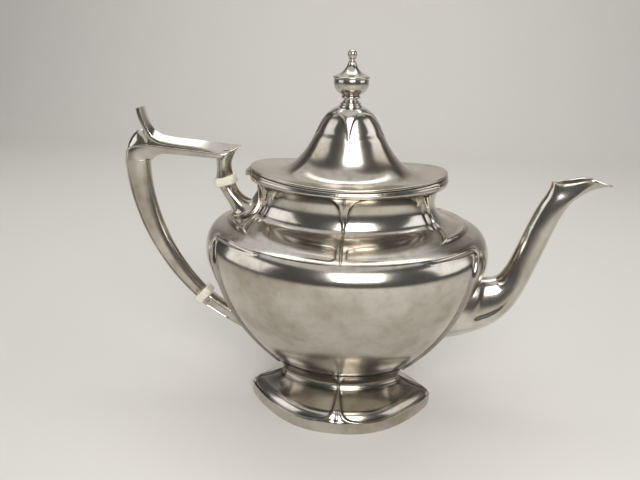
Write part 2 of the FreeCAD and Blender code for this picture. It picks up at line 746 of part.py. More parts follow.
def make_knob():
    """Collar, urn knob, and the stud and nut that hold them on the lid."""
    bore = size("stud_radius") + size("fit")
    collar = size("collar_radius")
    node("finial_collar", turned("Collar", [
        ((bore, dome_top), None),
        ((collar, dome_top), None),
        ((collar, finial_seat), None),
        ((bore, finial_seat), None),
    ]))

    stem, foot = size("finial_stem_radius"), size("urn_foot_radius")
    urn, neck, ball = size("urn_radius"), size("spire_radius"), size("ball_radius")
    foot_z = finial_seat + size("finial_stem_height")
    edge_z = foot_z + size("urn_depth")
    shoulder_z = edge_z + size("urn_edge")
    neck_z = shoulder_z + size("spire_height")
    bead_top = neck_z + size("bead_height")
    # The ball rests on the bead a third of the way round, half its radius below its middle.
    ball_low = bead_top + size("ball_step")
    ball_seat = ball * math.sqrt(3) / 2
    top = ball_low + ball * 3 / 2
    bore_top = finial_seat + size("stud_grip")
    node("finial", turned("Finial", [
        ((bore, finial_seat), None),
        ((stem, finial_seat), None),
        ((stem, foot_z), None),
        ((foot, foot_z), size("urn_depth") * URN_BEND),
        ((urn, edge_z), None),
        ((urn, shoulder_z), -size("spire_height") * URN_BEND),
        ((neck, neck_z), size("bead_height") / 2 * REST_RATIO),
        ((neck, bead_top), None),
        ((ball_seat, ball_low), ball),
        ((ZERO, top), None),
        ((ZERO, bore_top), None),
        ((bore, bore_top), None),
    ]))

    nut_top = dome_top - wall
    nut_low = nut_top - size("nut_height")
    stud_low = nut_low - size("stud_tail")
    stud = cylinder("Stud", size("stud_radius"), bore_top - stud_low - size("fit"), ZERO, stud_low)
    node("finial_stud", stud)
    hexagon = doc.addObject("Part::Prism", "NutHexagon")
    hexagon.Polygon = 6
    bind(hexagon, Circumradius=size("nut_half_flats") * HEX_CORNER, Height=size("nut_height"))
    place(hexagon, ZERO, ZERO, nut_low)
    hole = cylinder("NutHole", bore, size("nut_height"), ZERO, nut_low)
    node("finial_nut", cut("Nut", hexagon, hole))


def spout_sections(name, inset):
    """The ovals along the gooseneck, each drawn in by an inset."""
    spots = [(spout_root[0], spout_root[1], size("spout_root_half"))]
    for stretch in ("heel", "bend", "throat", "neck", "swell", "mouth"):
        x = spots[-1][0] + size("spout_%s_run" % stretch)
        z = spots[-1][1] + size("spout_%s_rise" % stretch)
        spots.append((x, z, size("spout_%s_half" % stretch)))
    ovals = []
    last = len(spots) - 1
    for index, (x, z, half) in enumerate(spots):
        if index == 0:
            width, lean = size("spout_root_width"), size("spout_root_angle")
        elif index == last:
            width, lean = size("spout_mouth_width"), ZERO
            z = z + inset
        else:
            before, after = spots[index - 1], spots[index + 1]
            width = half * SPOUT_RATIO
            lean = heading(after[0] - before[0], after[1] - before[1])
        ovals.append(section_oval(name, half - inset, width - inset, x, z, lean))
    return ovals


def make_spout(core):
    """The hollow gooseneck, cut back to the body's side."""
    outer = loft("SpoutForm", spout_sections("SpoutOuter", ZERO))
    inner = loft("SpoutHollow", spout_sections("SpoutInner", wall))
    node("spout", cut("Spout", cut("SeatedSpout", outer, core), inner))


def joint_axis(tilt):
    """Along a heat break, from the body towards the handle."""
    return -sine(tilt), cosine(tilt)


def along(start, direction, distance):
    return start[0] + direction[0] * distance, start[1] + direction[1] * distance


upper_tilt = size("upper_joint_angle")
upper_joint = (size("upper_joint_inset") - belly[0], seam[1] + size("upper_joint_rise"))
bar_low = upper_joint[1] + size("bar_rise")
grip_start = (-belly[0] - size("handle_gap"), bar_low - size("grip_drop"))
lower_tilt = size("grip_angle")
half_break = size("insulator_thickness") / 2


def grip_point(angle):
    """The grip's middle line, at this sweep from its top."""
    bend = size("grip_radius")
    return grip_start[0] + bend * (1 - cosine(angle)), grip_start[1] - bend * sine(angle)


lower_joint = along(grip_point(lower_tilt), joint_axis(lower_tilt), -half_break)


def make_insulator(name, joint, tilt, width):
    """A white heat break with a tenon each way and two cross pins. Returns what bores its neighbours.

    The width is that of the metal on each side of it, which the pins go through.
    """
    long_half, wide_half = size("insulator_half"), size("insulator_half_width")
    corner = size("insulator_corner")
    x, y = long_half - corner, wide_half - corner
    disc = new_body(name + "Disc")
    outline = new_sketch(disc, name + "_outline", "XY_Plane")
    closed_outline(outline, [
        ((-x, -wide_half), None), ((x, -wide_half), corner),
        ((long_half, -y), None), ((long_half, y), corner),
        ((x, wide_half), None), ((-x, wide_half), corner),
        ((-long_half, y), None), ((-long_half, -y), corner),
    ])
    doc.recompute()
    pad = disc.newObject("PartDesign::Pad", name + "_pad")
    pad.Profile = outline
    bind(pad, Length=size("insulator_thickness"))
    axis = joint_axis(tilt)
    low = along(joint, axis, -half_break)
    place(disc, low[0], ZERO, low[1], -tilt)

    reach = half_break + size("tenon_length")
    foot = along(joint, axis, -reach)
    tenon = cylinder(name + "Tenon", size("tenon_radius"), reach * 2, foot[0], foot[1], -tilt)
    pins, holes = [], []
    pin_length = width + size("pin_proud") * 2
    for side in (1, -1):
        at = along(joint, axis, (half_break + size("tenon_length") / 2) * side)
        pins.append(cross_cylinder(name + "Pin", size("pin_radius"), pin_length, at[0], at[1]))
        loose = size("pin_radius") + size("fit")
        holes.append(cross_cylinder(name + "PinHole", loose, width * 2, at[0], at[1]))
    drilled = fuse(name + "PinHoles", holes)
    solid = fuse(name + "Form", [disc, tenon])
    node(name + "_insulator", cut(name + "Drilled", solid, drilled))
    node(name + "_insulator_pins", group(name + "Pins", pins))

    mortise_half = reach + size("fit")
    foot = along(joint, axis, -mortise_half)
    loose = size("tenon_radius") + size("fit")
    mortise = cylinder(name + "Mortise", loose, mortise_half * 2, foot[0], foot[1], -tilt)
    return fuse(name + "Bores", [mortise, drilled])


def make_top_bar(bores):
    """The straight bar with its beak, the stub down to the heat break, and the thumb rest."""
    axis = joint_axis(upper_tilt)
    across = (cosine(upper_tilt), sine(upper_tilt))
    face = along(upper_joint, axis, half_break)
    stub_right = along(face, across, size("stub_half"))
    stub_left = along(face, across, -size("stub_half"))
    beak = (upper_joint[0] + size("beak_reach"), bar_low + size("beak_height"))
    back = (grip_start[0] + size("bar_back_inset"), bar_low + size("bar_back_height"))
    tip_x, tip_z = grip_start[0] + size("rest_inset"), bar_low + size("rest_height")
    top_half, tip_half = size("grip_top_half"), size("rest_half")
    inner_x, outer_x = grip_start[0] + top_half, grip_start[0] - top_half
    body = new_body("TopBarForm")
    outline = new_sketch(body, "TopBar_outline", "XZ_Plane")
    closed_outline(outline, [
        (beak, None),
        (back, -size("rest_hollow_radius")),
        ((tip_x + tip_half, tip_z), tip_half * REST_RATIO),
        ((tip_x - tip_half, tip_z), -size("rest_back_radius")),
        ((outer_x, bar_low), None),
        ((outer_x, grip_start[1]), None),
        ((inner_x, grip_start[1]), None),
        ((inner_x, bar_low), None),
        ((stub_left[0], bar_low), None),
        (stub_left, None),
        (stub_right, None),
        ((stub_right[0], bar_low), None),
    ])
    doc.recompute()
    pad = body.newObject("PartDesign::Pad", "TopBar_pad")
    pad.Profile = outline
    pad.Midplane = True
    bind(pad, Length=size("handle_width"))
    node("handle_top_bar", cut("TopBar", body, bores))


def make_grip(bores):
    """The curved grip, tapering down to the lower heat break."""
    ovals = []
    for index in range(GRIP_SECTIONS):
        share = index / (GRIP_SECTIONS - 1)
        angle = lower_tilt * share
        half = size("grip_top_half") * (1 - share) + size("grip_end_half") * share
        wide = size("handle_width") / 2 * (1 - share) + size("grip_end_half") * GRIP_END_RATIO * share
        x, z = grip_point(angle)
        ovals.append(section_oval("GripOval", half, wide, x, z, -angle))
    node("handle_grip", cut("Grip", loft("GripForm", ovals), bores))


def make_upper_socket(bores, core):
    """The stub that bends from the heat break on to the shoulder and the neck."""
    stub = size("stub_half")
    seat = along(upper_joint, joint_axis(upper_tilt), -half_break)
    spots = [(seat[0], seat[1], stub, stub)]
    for stretch in ("knee", "ankle", "heel", "root"):
        run, drop, half, width = [
            size("socket_%s_%s" % (stretch, part)) for part in ("run", "drop", "half", "width")
        ]
        spots.append((spots[-1][0] + run, spots[-1][1] - drop, half, width))
    ovals = []
    for index, (x, z, half, width) in enumerate(spots):
        if index == 0:
            lean = -upper_tilt
        else:
            before, after = spots[index - 1], spots[min(index + 1, len(spots) - 1)]
            lean = heading(before[0] - after[0], before[1] - after[1])
        ovals.append(section_oval("SocketOval", half, width, x, z, lean))
    solid = cut("UpperSocketForm", loft("UpperSocketLoft", ovals), core)
    node("upper_socket", cut("UpperSocket", solid, bores))


def make_lower_socket(bores, core):
    """The leaf-shaped stub that runs down on to the bowl."""
    axis = joint_axis(lower_tilt)
    seat = along(lower_joint, axis, -half_break)
    swell = along(seat, axis, -size("leaf_length"))
    root = (size("leaf_root_inset") - belly[0], belly[1] - size("leaf_root_drop"))
    start, half, width = size("grip_end_half"), size("leaf_half"), size("leaf_width")
    ovals = [
        section_oval("LeafSeat", start, start, seat[0], seat[1], -lower_tilt),
        section_oval("LeafSwell", half, width, swell[0], swell[1], -lower_tilt),
        section_oval("LeafRoot", half, width, root[0], root[1], as_size(-90)),
    ]
    solid = cut("LowerSocketForm", loft("LowerSocketLoft", ovals), core)
    node("lower_socket", cut("LowerSocket", solid, bores))


def make_handle(core):
    upper_bores = make_insulator("upper", upper_joint, upper_tilt, size("handle_width"))
    lower_bores = make_insulator("lower", lower_joint, lower_tilt, size("grip_end_half") * 2)
    make_top_bar(upper_bores)
    make_grip(lower_bores)
    make_upper_socket(upper_bores, core)
    make_lower_socket(lower_bores, core)


def check_and_write():
    """Stop on any failed feature, then write each sub-part."""
    doc.recompute()
    for item in doc.Objects:
        if "Invalid" in item.State or "Error" in item.State:
            raise RuntimeError("failed feature: " + item.Name)
    os.makedirs("parts", exist_ok=True)
    for label, thing in NODES.items():
        shape = thing.Shape
        if shape.isNull() or not shape.isValid() or not shape.Solids:
            raise RuntimeError("bad shape: " + label)
    for label, thing in NODES.items():
        shape = thing.Shape
        shape.exportStep("parts/%s.step" % label)
        print("%-22s solids %d  volume %.1f" % (label, len(shape.Solids), shape.Volume))


make_foot_rim()
make_foot()
make_bowl()
make_shoulder()
make_neck_rim()
make_lid()
make_lid_bezel()
make_hinge()
make_knob()
core = body_core()
make_spout(core)
make_handle(core)
check_and_write()
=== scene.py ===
import json
import math
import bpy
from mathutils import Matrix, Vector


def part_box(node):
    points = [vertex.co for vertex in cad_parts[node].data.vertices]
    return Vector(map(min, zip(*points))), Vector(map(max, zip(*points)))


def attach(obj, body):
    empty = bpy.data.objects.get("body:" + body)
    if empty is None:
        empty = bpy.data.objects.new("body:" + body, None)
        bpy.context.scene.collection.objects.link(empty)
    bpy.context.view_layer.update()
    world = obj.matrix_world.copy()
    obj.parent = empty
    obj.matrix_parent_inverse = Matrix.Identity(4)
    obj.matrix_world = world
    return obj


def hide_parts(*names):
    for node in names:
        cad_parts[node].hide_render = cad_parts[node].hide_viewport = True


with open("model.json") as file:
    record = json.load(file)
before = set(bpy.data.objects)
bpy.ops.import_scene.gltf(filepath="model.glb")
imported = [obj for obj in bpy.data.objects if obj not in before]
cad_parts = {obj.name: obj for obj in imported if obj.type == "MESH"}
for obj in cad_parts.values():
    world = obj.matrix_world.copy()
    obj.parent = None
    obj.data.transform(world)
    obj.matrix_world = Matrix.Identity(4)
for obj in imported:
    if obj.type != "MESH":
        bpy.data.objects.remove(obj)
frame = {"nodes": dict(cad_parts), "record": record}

from types import SimpleNamespace

import bmesh
import bpy
import numpy as np
from bpy.props import FloatProperty, FloatVectorProperty, PointerProperty
from mathutils import Matrix, Vector

bl_info = {
    "name": "Panelled Silver Teapot",
    "version": (1, 0, 0),
    "blender": (4, 5, 0),
    "location": "3D View > Sidebar > Teapot",
    "description": "Dresses the frame of an oval silver-plated teapot with its panelled sides",
    "category": "Add Mesh",
}

MM = 0.001
TURN = 2 * math.pi
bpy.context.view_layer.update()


# Sizes and colours

def top_of(node):
    """Height of a frame node's top."""
    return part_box(node)[1].z


def reach_of(node):
    """How far a frame node reaches along +X."""
    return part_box(node)[1].x


def length(name, description, default):
    """A size in metres."""
    return FloatProperty(name=name, description=description, default=default, unit="LENGTH")


def linear(code):
    """An sRGB hex colour as linear red, green and blue."""
    channels = [int(code[at:at + 2], 16) / 255 for at in (1, 3, 5)]
    return [c / 12.92 if c <= 0.04045 else ((c + 0.055) / 1.055) ** 2.4 for c in channels]


def colour(name, description, code):
    """A colour by its sRGB hex code."""
    return FloatVectorProperty(name=name, description=description, default=linear(code), subtype="COLOR",
                               min=0, max=1)


class TeapotBodySizes(bpy.types.PropertyGroup):
    """Sizes of foot, body and neck. Half lengths run from the middle towards the spout."""

    oval_inset: length("Oval inset", "Half length of an oval less its half width", 18.5 * MM)
    oval_centre: length("Oval end centre", "End arcs' centres from the middle", 27.7 * MM)
    wall: length("Wall", "Thickness of the sheet metal", 1.2 * MM)
    base_half: length("Base", "Half length of the foot on the table", 56.2 * MM)
    foot_half: length("Foot", "Half length of the foot's widest line", reach_of("foot_rim"))
    foot_height: length("Foot height", "Height of the foot's widest line", top_of("foot_rim"))
    roll_half: length("Roll", "Half length inside the foot's rolled edge", 50.0 * MM)
    roll_height: length("Roll height", "Height of the rolled edge", 13.2 * MM)
    waist_half: length("Waist", "Half length of the waist", 35.7 * MM)
    waist_height: length("Waist height", "Height of the waist", 19.5 * MM)
    pedestal_half: length("Pedestal", "Half length of the pedestal's top", 39.9 * MM)
    pedestal_height: length("Pedestal height", "Height of the pedestal's top", top_of("foot"))
    belly_half: length("Belly", "Half length at the foot of the belly's round", 80.9 * MM)
    belly_height: length("Belly height", "Height of the foot of the belly's round", 99.1 * MM)
    seam_half: length("Shoulder line", "Half length of the shoulder line", 76.6 * MM)
    seam_height: length("Shoulder height", "Height of the shoulder line", top_of("bowl"))
    shoulder_drop: length("Shoulder drop", "How much the shoulder line sinks at the front", 2.6 * MM)
    neck_half: length("Neck foot", "Half length of the neck's foot", 55.5 * MM)
    neck_height: length("Neck foot height", "Height of the neck's foot", 124.5 * MM)
    throat_half: length("Neck top", "Half length of the neck's top", 51.6 * MM)
    throat_height: length("Neck top height", "Height of the neck's top", top_of("shoulder"))
    lip_half: length("Lip", "Half length of the lip", reach_of("neck_rim"))
    lip_end: length("Lip height", "Height of the lip at its ends", top_of("neck_rim"))
    rim_sag: length("Rim sag", "How much lower the rim is at the front than at its ends", 3.8 * MM)
    panel_depth: length("Panel depth", "How deep the panels lie", 0.55 * MM)
    panel_step: length("Panel step", "Width of the slope round a panel", 0.9 * MM)


class TeapotLidSizes(bpy.types.PropertyGroup):
    """Sizes of the lid and its knob."""

    gap: length("Gap", "Gap between lid and lip", 0.3 * MM)
    edge: length("Edge", "Thickness of the lid's flange", 1.4 * MM)
    dome_top: length("Dome top", "Height of the dome's flat top", top_of("lid"))
    dome_top_half: length("Dome top radius", "Radius of the dome's flat top", 8.0 * MM)
    collar_radius: length("Collar", "Radius of the knob's collar", reach_of("finial_collar"))
    urn_radius: length("Urn", "Radius of the urn knob", reach_of("finial"))
    knob_top: length("Knob top", "Height of the knob's top", top_of("finial"))


class TeapotFinish(bpy.types.PropertyGroup):
    """Colours of the metals, the bone and the stage."""

    silver: colour("Silver plate", "Polished silver plate where it is clean", "#CDC8BF")
    tarnish: colour("Tarnish", "Silver plate where it has yellowed", "#9C9180")
    # Painted shade: this dark colour is mixed into the creases of the chasing, at the foot of each panel's
    # slope, where shade falls.
    chasing_shade: colour("Patina", "Oxide left in the hollows of the chasing", "#5A5148")
    nickel: colour("Pin metal", "Drawn nickel silver of the pins", "#A39B8D")
    bone: colour("Bone", "Bone of the heat breaks", "#EAE3D3")
    floor: colour("Floor", "Paper sweep under and behind the pot", "#DAD7D1")


def names_in(group):
    """Names of a group's own properties."""
    return [name for name in group.bl_rna.properties.keys() if name not in ("rna_type", "name")]


def lengths(context):
    """All sizes in millimetres, which the shapes below are written in.

    Where a line has a half length and a height, its name alone gives the pair.
    """
    sizes = {}
    for group in (context.scene.teapot_body, context.scene.teapot_lid):
        sizes.update({name: getattr(group, name) / MM for name in names_in(group)})
    lines = [name.removesuffix("_height") for name in sizes if name.endswith("_height")]
    sizes.update({line: (sizes[line + "_half"], sizes[line + "_height"]) for line in lines})
    return SimpleNamespace(**sizes)


def colours(context):
    """All colours with full alpha."""
    group = context.scene.teapot_finish
    return SimpleNamespace(**{name: (*getattr(group, name), 1.0) for name in names_in(group)})


# Lines

FINE_STEP = 0.5


def soft_step(distance, width):
    """From 0 to 1 over a width, with its middle where the distance is 0."""
    share = np.clip(distance / width + 0.5, 0, 1)
    return share * share * (3 - 2 * share)


def along_arc(start, end, bend, step, edge=0.3):
    """Points on an arc from start to end. A positive bend turns left, None goes straight.

    The first and last points have a neighbour close by, which keeps the line between two arcs crisp.
    """
    start, end = np.array(start, float), np.array(end, float)
    chord = end - start
    span = np.hypot(*chord)
    shares = np.linspace(0, 1, max(3, math.ceil(span / step)) + 1)
    shares = np.unique(np.concatenate([shares, [edge / span, 1 - edge / span]]))
    if bend is None:
        return start + shares[:, None] * chord
    left = np.array([-chord[1], chord[0]]) / span
    reach = math.sqrt(max(bend * bend - span * span / 4, 0))
    centre = (start + end) / 2 + left * math.copysign(reach, bend)
    first, last = (math.atan2(*(spot - centre)[::-1]) for spot in (start, end))
    angles = first + shares * ((last - first + math.pi) % TURN - math.pi)
    return centre + abs(bend) * np.stack([np.cos(angles), np.sin(angles)], axis=1)


def outline(corners, step):
    """A line of arcs through corners, each given as x, z and the bend of the way to the next."""
    runs = [along_arc((x, z), after[:2], bend, step) for (x, z, bend), after in zip(corners, corners[1:])]
    return np.concatenate([runs[0], *(run[1:] for run in runs[1:])])


def flowing(points, steps):
    """A smooth line through a few points, with this many steps between each two."""
    points = np.array(points, float)
    padded = np.concatenate([[2 * points[0] - points[1]], points, [2 * points[-1] - points[-2]]])
    line = []
    for before, start, end, after in zip(padded, padded[1:], padded[2:], padded[3:]):
        for share in np.arange(steps) / steps:
            line.append(0.5 * (
                2 * start + (end - before) * share
                + (2 * before - 5 * start + 4 * end - after) * share ** 2
                + (3 * start - before - 3 * end + after) * share ** 3
            ))
    return np.array(line + [points[-1]])


def flowing_pair(rows, steps):
    """Two smooth lines and the half widths between them, from rows of x, z, x, z and half width."""
    table = flowing(rows, steps)
    return table[:, :2], table[:, 2:4], table[:, 4]


def travelled(line):
    """How far each point of a line lies from its start."""
    return np.concatenate([[0], np.cumsum(np.linalg.norm(np.diff(line, axis=0), axis=1))])


def side_normals(line):
    """Outward directions along a line that runs up the outside."""
    run = np.gradient(line, axis=0)
    run /= np.linalg.norm(run, axis=1)[:, None]
    return np.stack([run[:, 1], -run[:, 0]], axis=1)


# Meshes

def skin(name, rows, closed=False, ends=None, chasing_shade=None):
    """A closed mesh over rings of points in millimetres, with its faces outward.

    A closed skin joins its last ring to its first. Otherwise an end point closes the first and the last
    ring with a fan.
    """
    rows = np.asarray(rows)
    points = rows.reshape(-1, 3)
    count = len(points)
    at = np.arange(count).reshape(rows.shape[:2])
    after = np.roll(at, -1, axis=1)
    quads = np.stack([at, after, np.roll(after, -1, axis=0), np.roll(at, -1, axis=0)], axis=-1)
    last = len(rows) if closed else len(rows) - 1
    faces = [tuple(quad) for quad in quads[:last].reshape(-1, 4).tolist()]
    if not closed:
        faces += [(b, a, count) for a, b in zip(at[0], after[0])]
        faces += [(a, b, count + 1) for a, b in zip(at[-1], after[-1])]
        points = np.concatenate([points, ends or (rows[0].mean(axis=0), rows[-1].mean(axis=0))])
    first, second, third, fourth = (points[[face[corner] for face in faces]] for corner in (0, 1, 2, -1))
    volume = np.sum(np.cross(first, second) * third) + np.sum(np.cross(first, third) * fourth)
    if volume < 0:
        faces = [face[::-1] for face in faces]
    mesh = bpy.data.meshes.new(name)
    mesh.from_pydata((points * MM).tolist(), [], faces)
    if chasing_shade is not None:
        values = np.zeros(len(points), np.float32)
        values[:count] = chasing_shade.reshape(-1)
        mesh.attributes.new("chasing_shade", "FLOAT", "POINT").data.foreach_set("value", values)
    mesh.shade_smooth()
    mesh.set_sharp_from_angle(angle=math.radians(60))
    return mesh


def shell(name, sides, **options):
    """A skin over several runs of rings, each with the painted shade of its chasing's creases."""
    rings, chasing_shade = (np.concatenate(runs) for runs in zip(*sides))
    return skin(name, rings, chasing_shade=chasing_shade, **options)


def joined(name, meshes):
    """Several meshes as one, each keeping its own closed skin."""
    form = bmesh.new()
    for mesh in meshes:
        form.from_mesh(mesh)
        bpy.data.meshes.remove(mesh)
    whole = bpy.data.meshes.new(name)
    form.to_mesh(whole)
    form.free()
    whole.shade_smooth()
    return whole


def add_piece(mesh, node, body="pot", slot="silver_plate"):
    """A finished piece with its mesh's name, on its body and in place of its frame node."""
    piece = bpy.data.objects.new(mesh.name, mesh)
    bpy.context.scene.collection.objects.link(piece)
    mesh.materials.append(finish_of(slot))
    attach(piece, body)
    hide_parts(node)
    return piece


# Ovals

def graded_angles():
    """Angles once round an oval, close together where beads and panel edges run."""
    quarter = [0.0]
    bead_zone = 46.0
    while quarter[-1] < 90:
        from_end = quarter[-1]
        widest = 0.5 if from_end < bead_zone else 1.3
        quarter.append(from_end + min(widest, 0.3 + from_end / 26, 0.18 + (90 - from_end) / 22))
    quarter = np.array(quarter) * (90 / quarter[-1])
    half = np.concatenate([quarter, 180 - quarter[-2::-1]])
    return np.radians(np.concatenate([half, half[1:-1] + 180]))


def from_side(angles):
    """Angles between directions and the nearer of front and back."""
    folded = np.abs((angles + math.pi) % TURN - math.pi)
    return np.abs(folded - math.pi / 2)


ANGLES = graded_angles()
FROM_SIDE = from_side(ANGLES)
FROM_END = math.pi / 2 - FROM_SIDE


def oval_depth(sizes):
    """How far beyond the middle the centres of an oval's front and back arcs lie."""
    inset, centre = sizes.oval_inset, sizes.oval_centre
    return inset * (2 * centre - inset) / (2 * (centre - inset))


def oval(sizes, angles, half, roundness=1.0):
    """Points of a four-arc oval, by the angle of its outward side. Roundness 0 makes it a circle."""
    centre, depth = sizes.oval_centre, oval_depth(sizes)
    at_end = from_side(angles) > math.pi / 2 - math.atan2(depth, centre)
    end_radius = half - centre * roundness
    side_radius = half - (sizes.oval_inset - depth) * roundness
    across = np.sign(np.cos(angles)) * centre * roundness
    back = np.sign(np.sin(angles)) * depth * roundness
    x = np.where(at_end, across + end_radius * np.cos(angles), side_radius * np.cos(angles))
    y = np.where(at_end, end_radius * np.sin(angles), side_radius * np.sin(angles) - back)
    return x, y


def oval_rings(sizes, line, relief=None, roundness=None, sway=None):
    """Rings of points for an upright line carried round the oval, with chasing and the painted shade in its
    creases.

    The relief gives the height of the chasing over the plain side, the roundness says where the oval
    becomes a circle, and the sway moves rings up or down.
    """
    half, height = line[:, :1], line[:, 1:]
    normals = side_normals(line)
    share = roundness(sizes, half) if roundness else np.ones_like(half)
    field = SimpleNamespace(
        height=height,
        run=travelled(line)[:, None],
        side=FROM_SIDE * (half - (sizes.oval_inset - oval_depth(sizes)) * share),
        end=FROM_END * (half - sizes.oval_centre * share),
    )
    shape = (len(line), len(ANGLES))
    chased = relief(sizes, field) if relief else (0.0, 0.0)
    rise, chasing_shade = (np.broadcast_to(values, shape) for values in chased)
    x, y = oval(sizes, ANGLES, half + rise * normals[:, :1], share)
    z = height + rise * normals[:, 1:]
    if sway:
        z = z + sway(sizes, half, height, x)
    return np.stack([x, y, z], axis=-1), chasing_shade


# Chasing

CURTAIN_END = 0.995


def curtain(side, rise, height, spread):
    """How far a point lies inside a panel whose corner sweeps up from a point like a drawn curtain."""
    share = np.clip(rise / height, 0, CURTAIN_END)
    half = spread * share / np.sqrt(1 - share)
    slope = spread * (1 - share / 2) / (height * (1 - share) ** 1.5)
    return np.minimum((side - half) / np.sqrt(1 + slope ** 2), height - rise)


def rounded_inside(first, second, corner):
    """How far a point lies inside two edges that meet in a rounded corner."""
    near = np.hypot(np.maximum(corner - first, 0), np.maximum(corner - second, 0))
    return np.where((first < corner) & (second < corner), corner - near, np.minimum(first, second))


def sunk(inside, depth, step):
    """Relief of a panel that is sunk with a soft slope round it, and painted shade along the foot of that
    slope.
    """
    return -depth * soft_step(inside - step / 2, step), crest(inside - step, 1.0, step)


def crest(distance, height, width):
    """A fine raised line."""
    return height * np.exp(-(distance / width) ** 2)


# Silver plate and the other finishes

class Nodes:
    """A tree of nodes, in which each call adds a node and gives its output.

    Widths and distances are in millimetres.
    """

    def __init__(self, tree):
        self.tree = tree

    def add(self, kind, inputs=None, output=None, **settings):
        """A node with its settings, and its inputs set to values or linked to other nodes' outputs."""
        node = self.tree.nodes.new(kind)
        for name, value in settings.items():
            setattr(node, name, value)
        for key, value in (inputs or {}).items():
            if isinstance(value, bpy.types.NodeSocket):
                self.tree.links.new(value, node.inputs[key])
            else:
                node.inputs[key].default_value = value
        if output:
            return node.outputs[output]
        return next(iter(node.outputs), None)

    def noise(self, width, detail, roughness=0.5, stretch=None):
        """Soft clouds of about a width, drawn out where the stretch is less than 1."""
        place = self.add("ShaderNodeTexCoord", output="Object")
        if stretch:
            place = self.add("ShaderNodeMapping", {"Vector": place, "Scale": stretch})
        return self.add("ShaderNodeTexNoise", {
            "Vector": place, "Scale": 1 / (width * MM), "Detail": detail, "Roughness": roughness,
        })

    def spread(self, value, low, high, start, end):
        """A value's way from low to high as a way from start to end."""
        return self.add("ShaderNodeMapRange", {
            "Value": value, "From Min": low, "From Max": high, "To Min": start, "To Max": end,
        })

    def calc(self, operation, *values, **settings):
        """One step of reckoning."""
        return self.add("ShaderNodeMath", dict(enumerate(values)), operation=operation, **settings)

    def mix(self, share, first, second):
        """Two colours mixed."""
        inputs = {"Factor": share, "A": first, "B": second}
        return self.add("ShaderNodeMix", inputs, "Result", data_type="RGBA")

    def bump(self, height, strength, distance, **inputs):
        """A fine relief."""
        return self.add("ShaderNodeBump", {
            "Height": height, "Strength": strength, "Distance": distance * MM, **inputs,
        })

    def surface(self, inputs):
        """The shader that ends a material."""
        self.add("ShaderNodeOutputMaterial", {"Surface": self.add("ShaderNodeBsdfPrincipled", inputs)})


def new_material(name):
    """An empty material and its nodes."""
    material = bpy.data.materials.new(name)
    material.use_nodes = True
    material.node_tree.nodes.clear()
    return material, Nodes(material.node_tree)


def silver_plate(nodes, finish):
    """Silver plate, raised and polished by hand, then years of handling.

    A warm grey mirror under a thin haze: yellow tarnish in soft patches, rubbed brighter in places, fine
    polishing scratches that run every way, and painted shade that darkens the creases of the chasing.
    """
    # Tarnish clouds about 28 mm wide, with 5 mm mottling in them.
    clouds = nodes.noise(28, 4.0, roughness=0.55)
    cloudy = nodes.spread(clouds, 0.38, 0.72, 0.0, 0.75)
    specks = nodes.spread(nodes.noise(5, 3.0), 0.5, 0.8, 0.0, 0.3)
    tarnished = nodes.calc("ADD", cloudy, specks, use_clamp=True)
    metal = nodes.mix(tarnished, finish.silver, finish.tarnish)
    # Painted shade: the creases marked on the mesh are mixed towards the dark shade colour.
    hollows = nodes.add("ShaderNodeAttribute", output="Fac", attribute_name="chasing_shade")
    shade_share = nodes.calc("MULTIPLY", hollows, 0.75)
    # Polishing scratches are finer than a hair, and are drawn about 0.8 mm apart so that they show.
    scratch = nodes.noise(0.8, 2.0, stretch=(1.0, 1.0, 0.12))
    haze = nodes.spread(clouds, 0.3, 0.75, 0.11, 0.2)
    hammered = nodes.bump(nodes.noise(16, 1.0), 0.25, 0.12)
    nodes.surface({
        "Base Color": nodes.mix(shade_share, metal, finish.chasing_shade),
        "Metallic": 1.0,
        "Roughness": nodes.calc("MULTIPLY_ADD", scratch, 0.06, haze),
        "Normal": nodes.bump(scratch, 0.12, 0.02, Normal=hammered),
    })


def nickel_silver(nodes, finish):
    """Nickel silver wire, drawn and cut: a dull grey metal with faint lengthwise lines."""
    # Drawing lines are far finer, and are drawn 0.3 mm apart so that they show.
    lines = nodes.noise(0.3, 2.0, stretch=(1.0, 0.05, 1.0))
    nodes.surface({
        "Base Color": nodes.mix(lines, finish.nickel, finish.tarnish),
        "Metallic": 1.0,
        "Roughness": nodes.spread(lines, 0.0, 1.0, 0.28, 0.45),
    })


def bone(nodes, finish):
    """Bone, sawn and polished: creamy white with a satin gloss, faint grain lines and tiny dark pores."""
    # Grain lines about 0.7 mm apart run along the pot.
    grain = nodes.noise(0.7, 3.0, stretch=(0.12, 1.0, 1.0))
    pores = nodes.spread(grain, 0.5, 0.85, 0.0, 0.55)
    nodes.surface({
        "Base Color": nodes.mix(pores, finish.bone, finish.tarnish),
        "Roughness": nodes.spread(grain, 0.0, 1.0, 0.3, 0.5),
        "IOR": 1.54,
        "Normal": nodes.bump(grain, 0.2, 0.05),
    })


FINISHES = {
    "silver_plate": ("Polished silver plate", silver_plate),
    "pin_metal": ("Drawn nickel silver", nickel_silver),
    "bone": ("Polished bone", bone),
}


def finish_of(slot):
    """A slot's material, made the first time it is asked for."""
    name, make = FINISHES[slot]
    material = bpy.data.materials.get(name)
    if material is None:
        material, nodes = new_material(name)
        make(nodes, colours(bpy.context))
    return material


# Foot

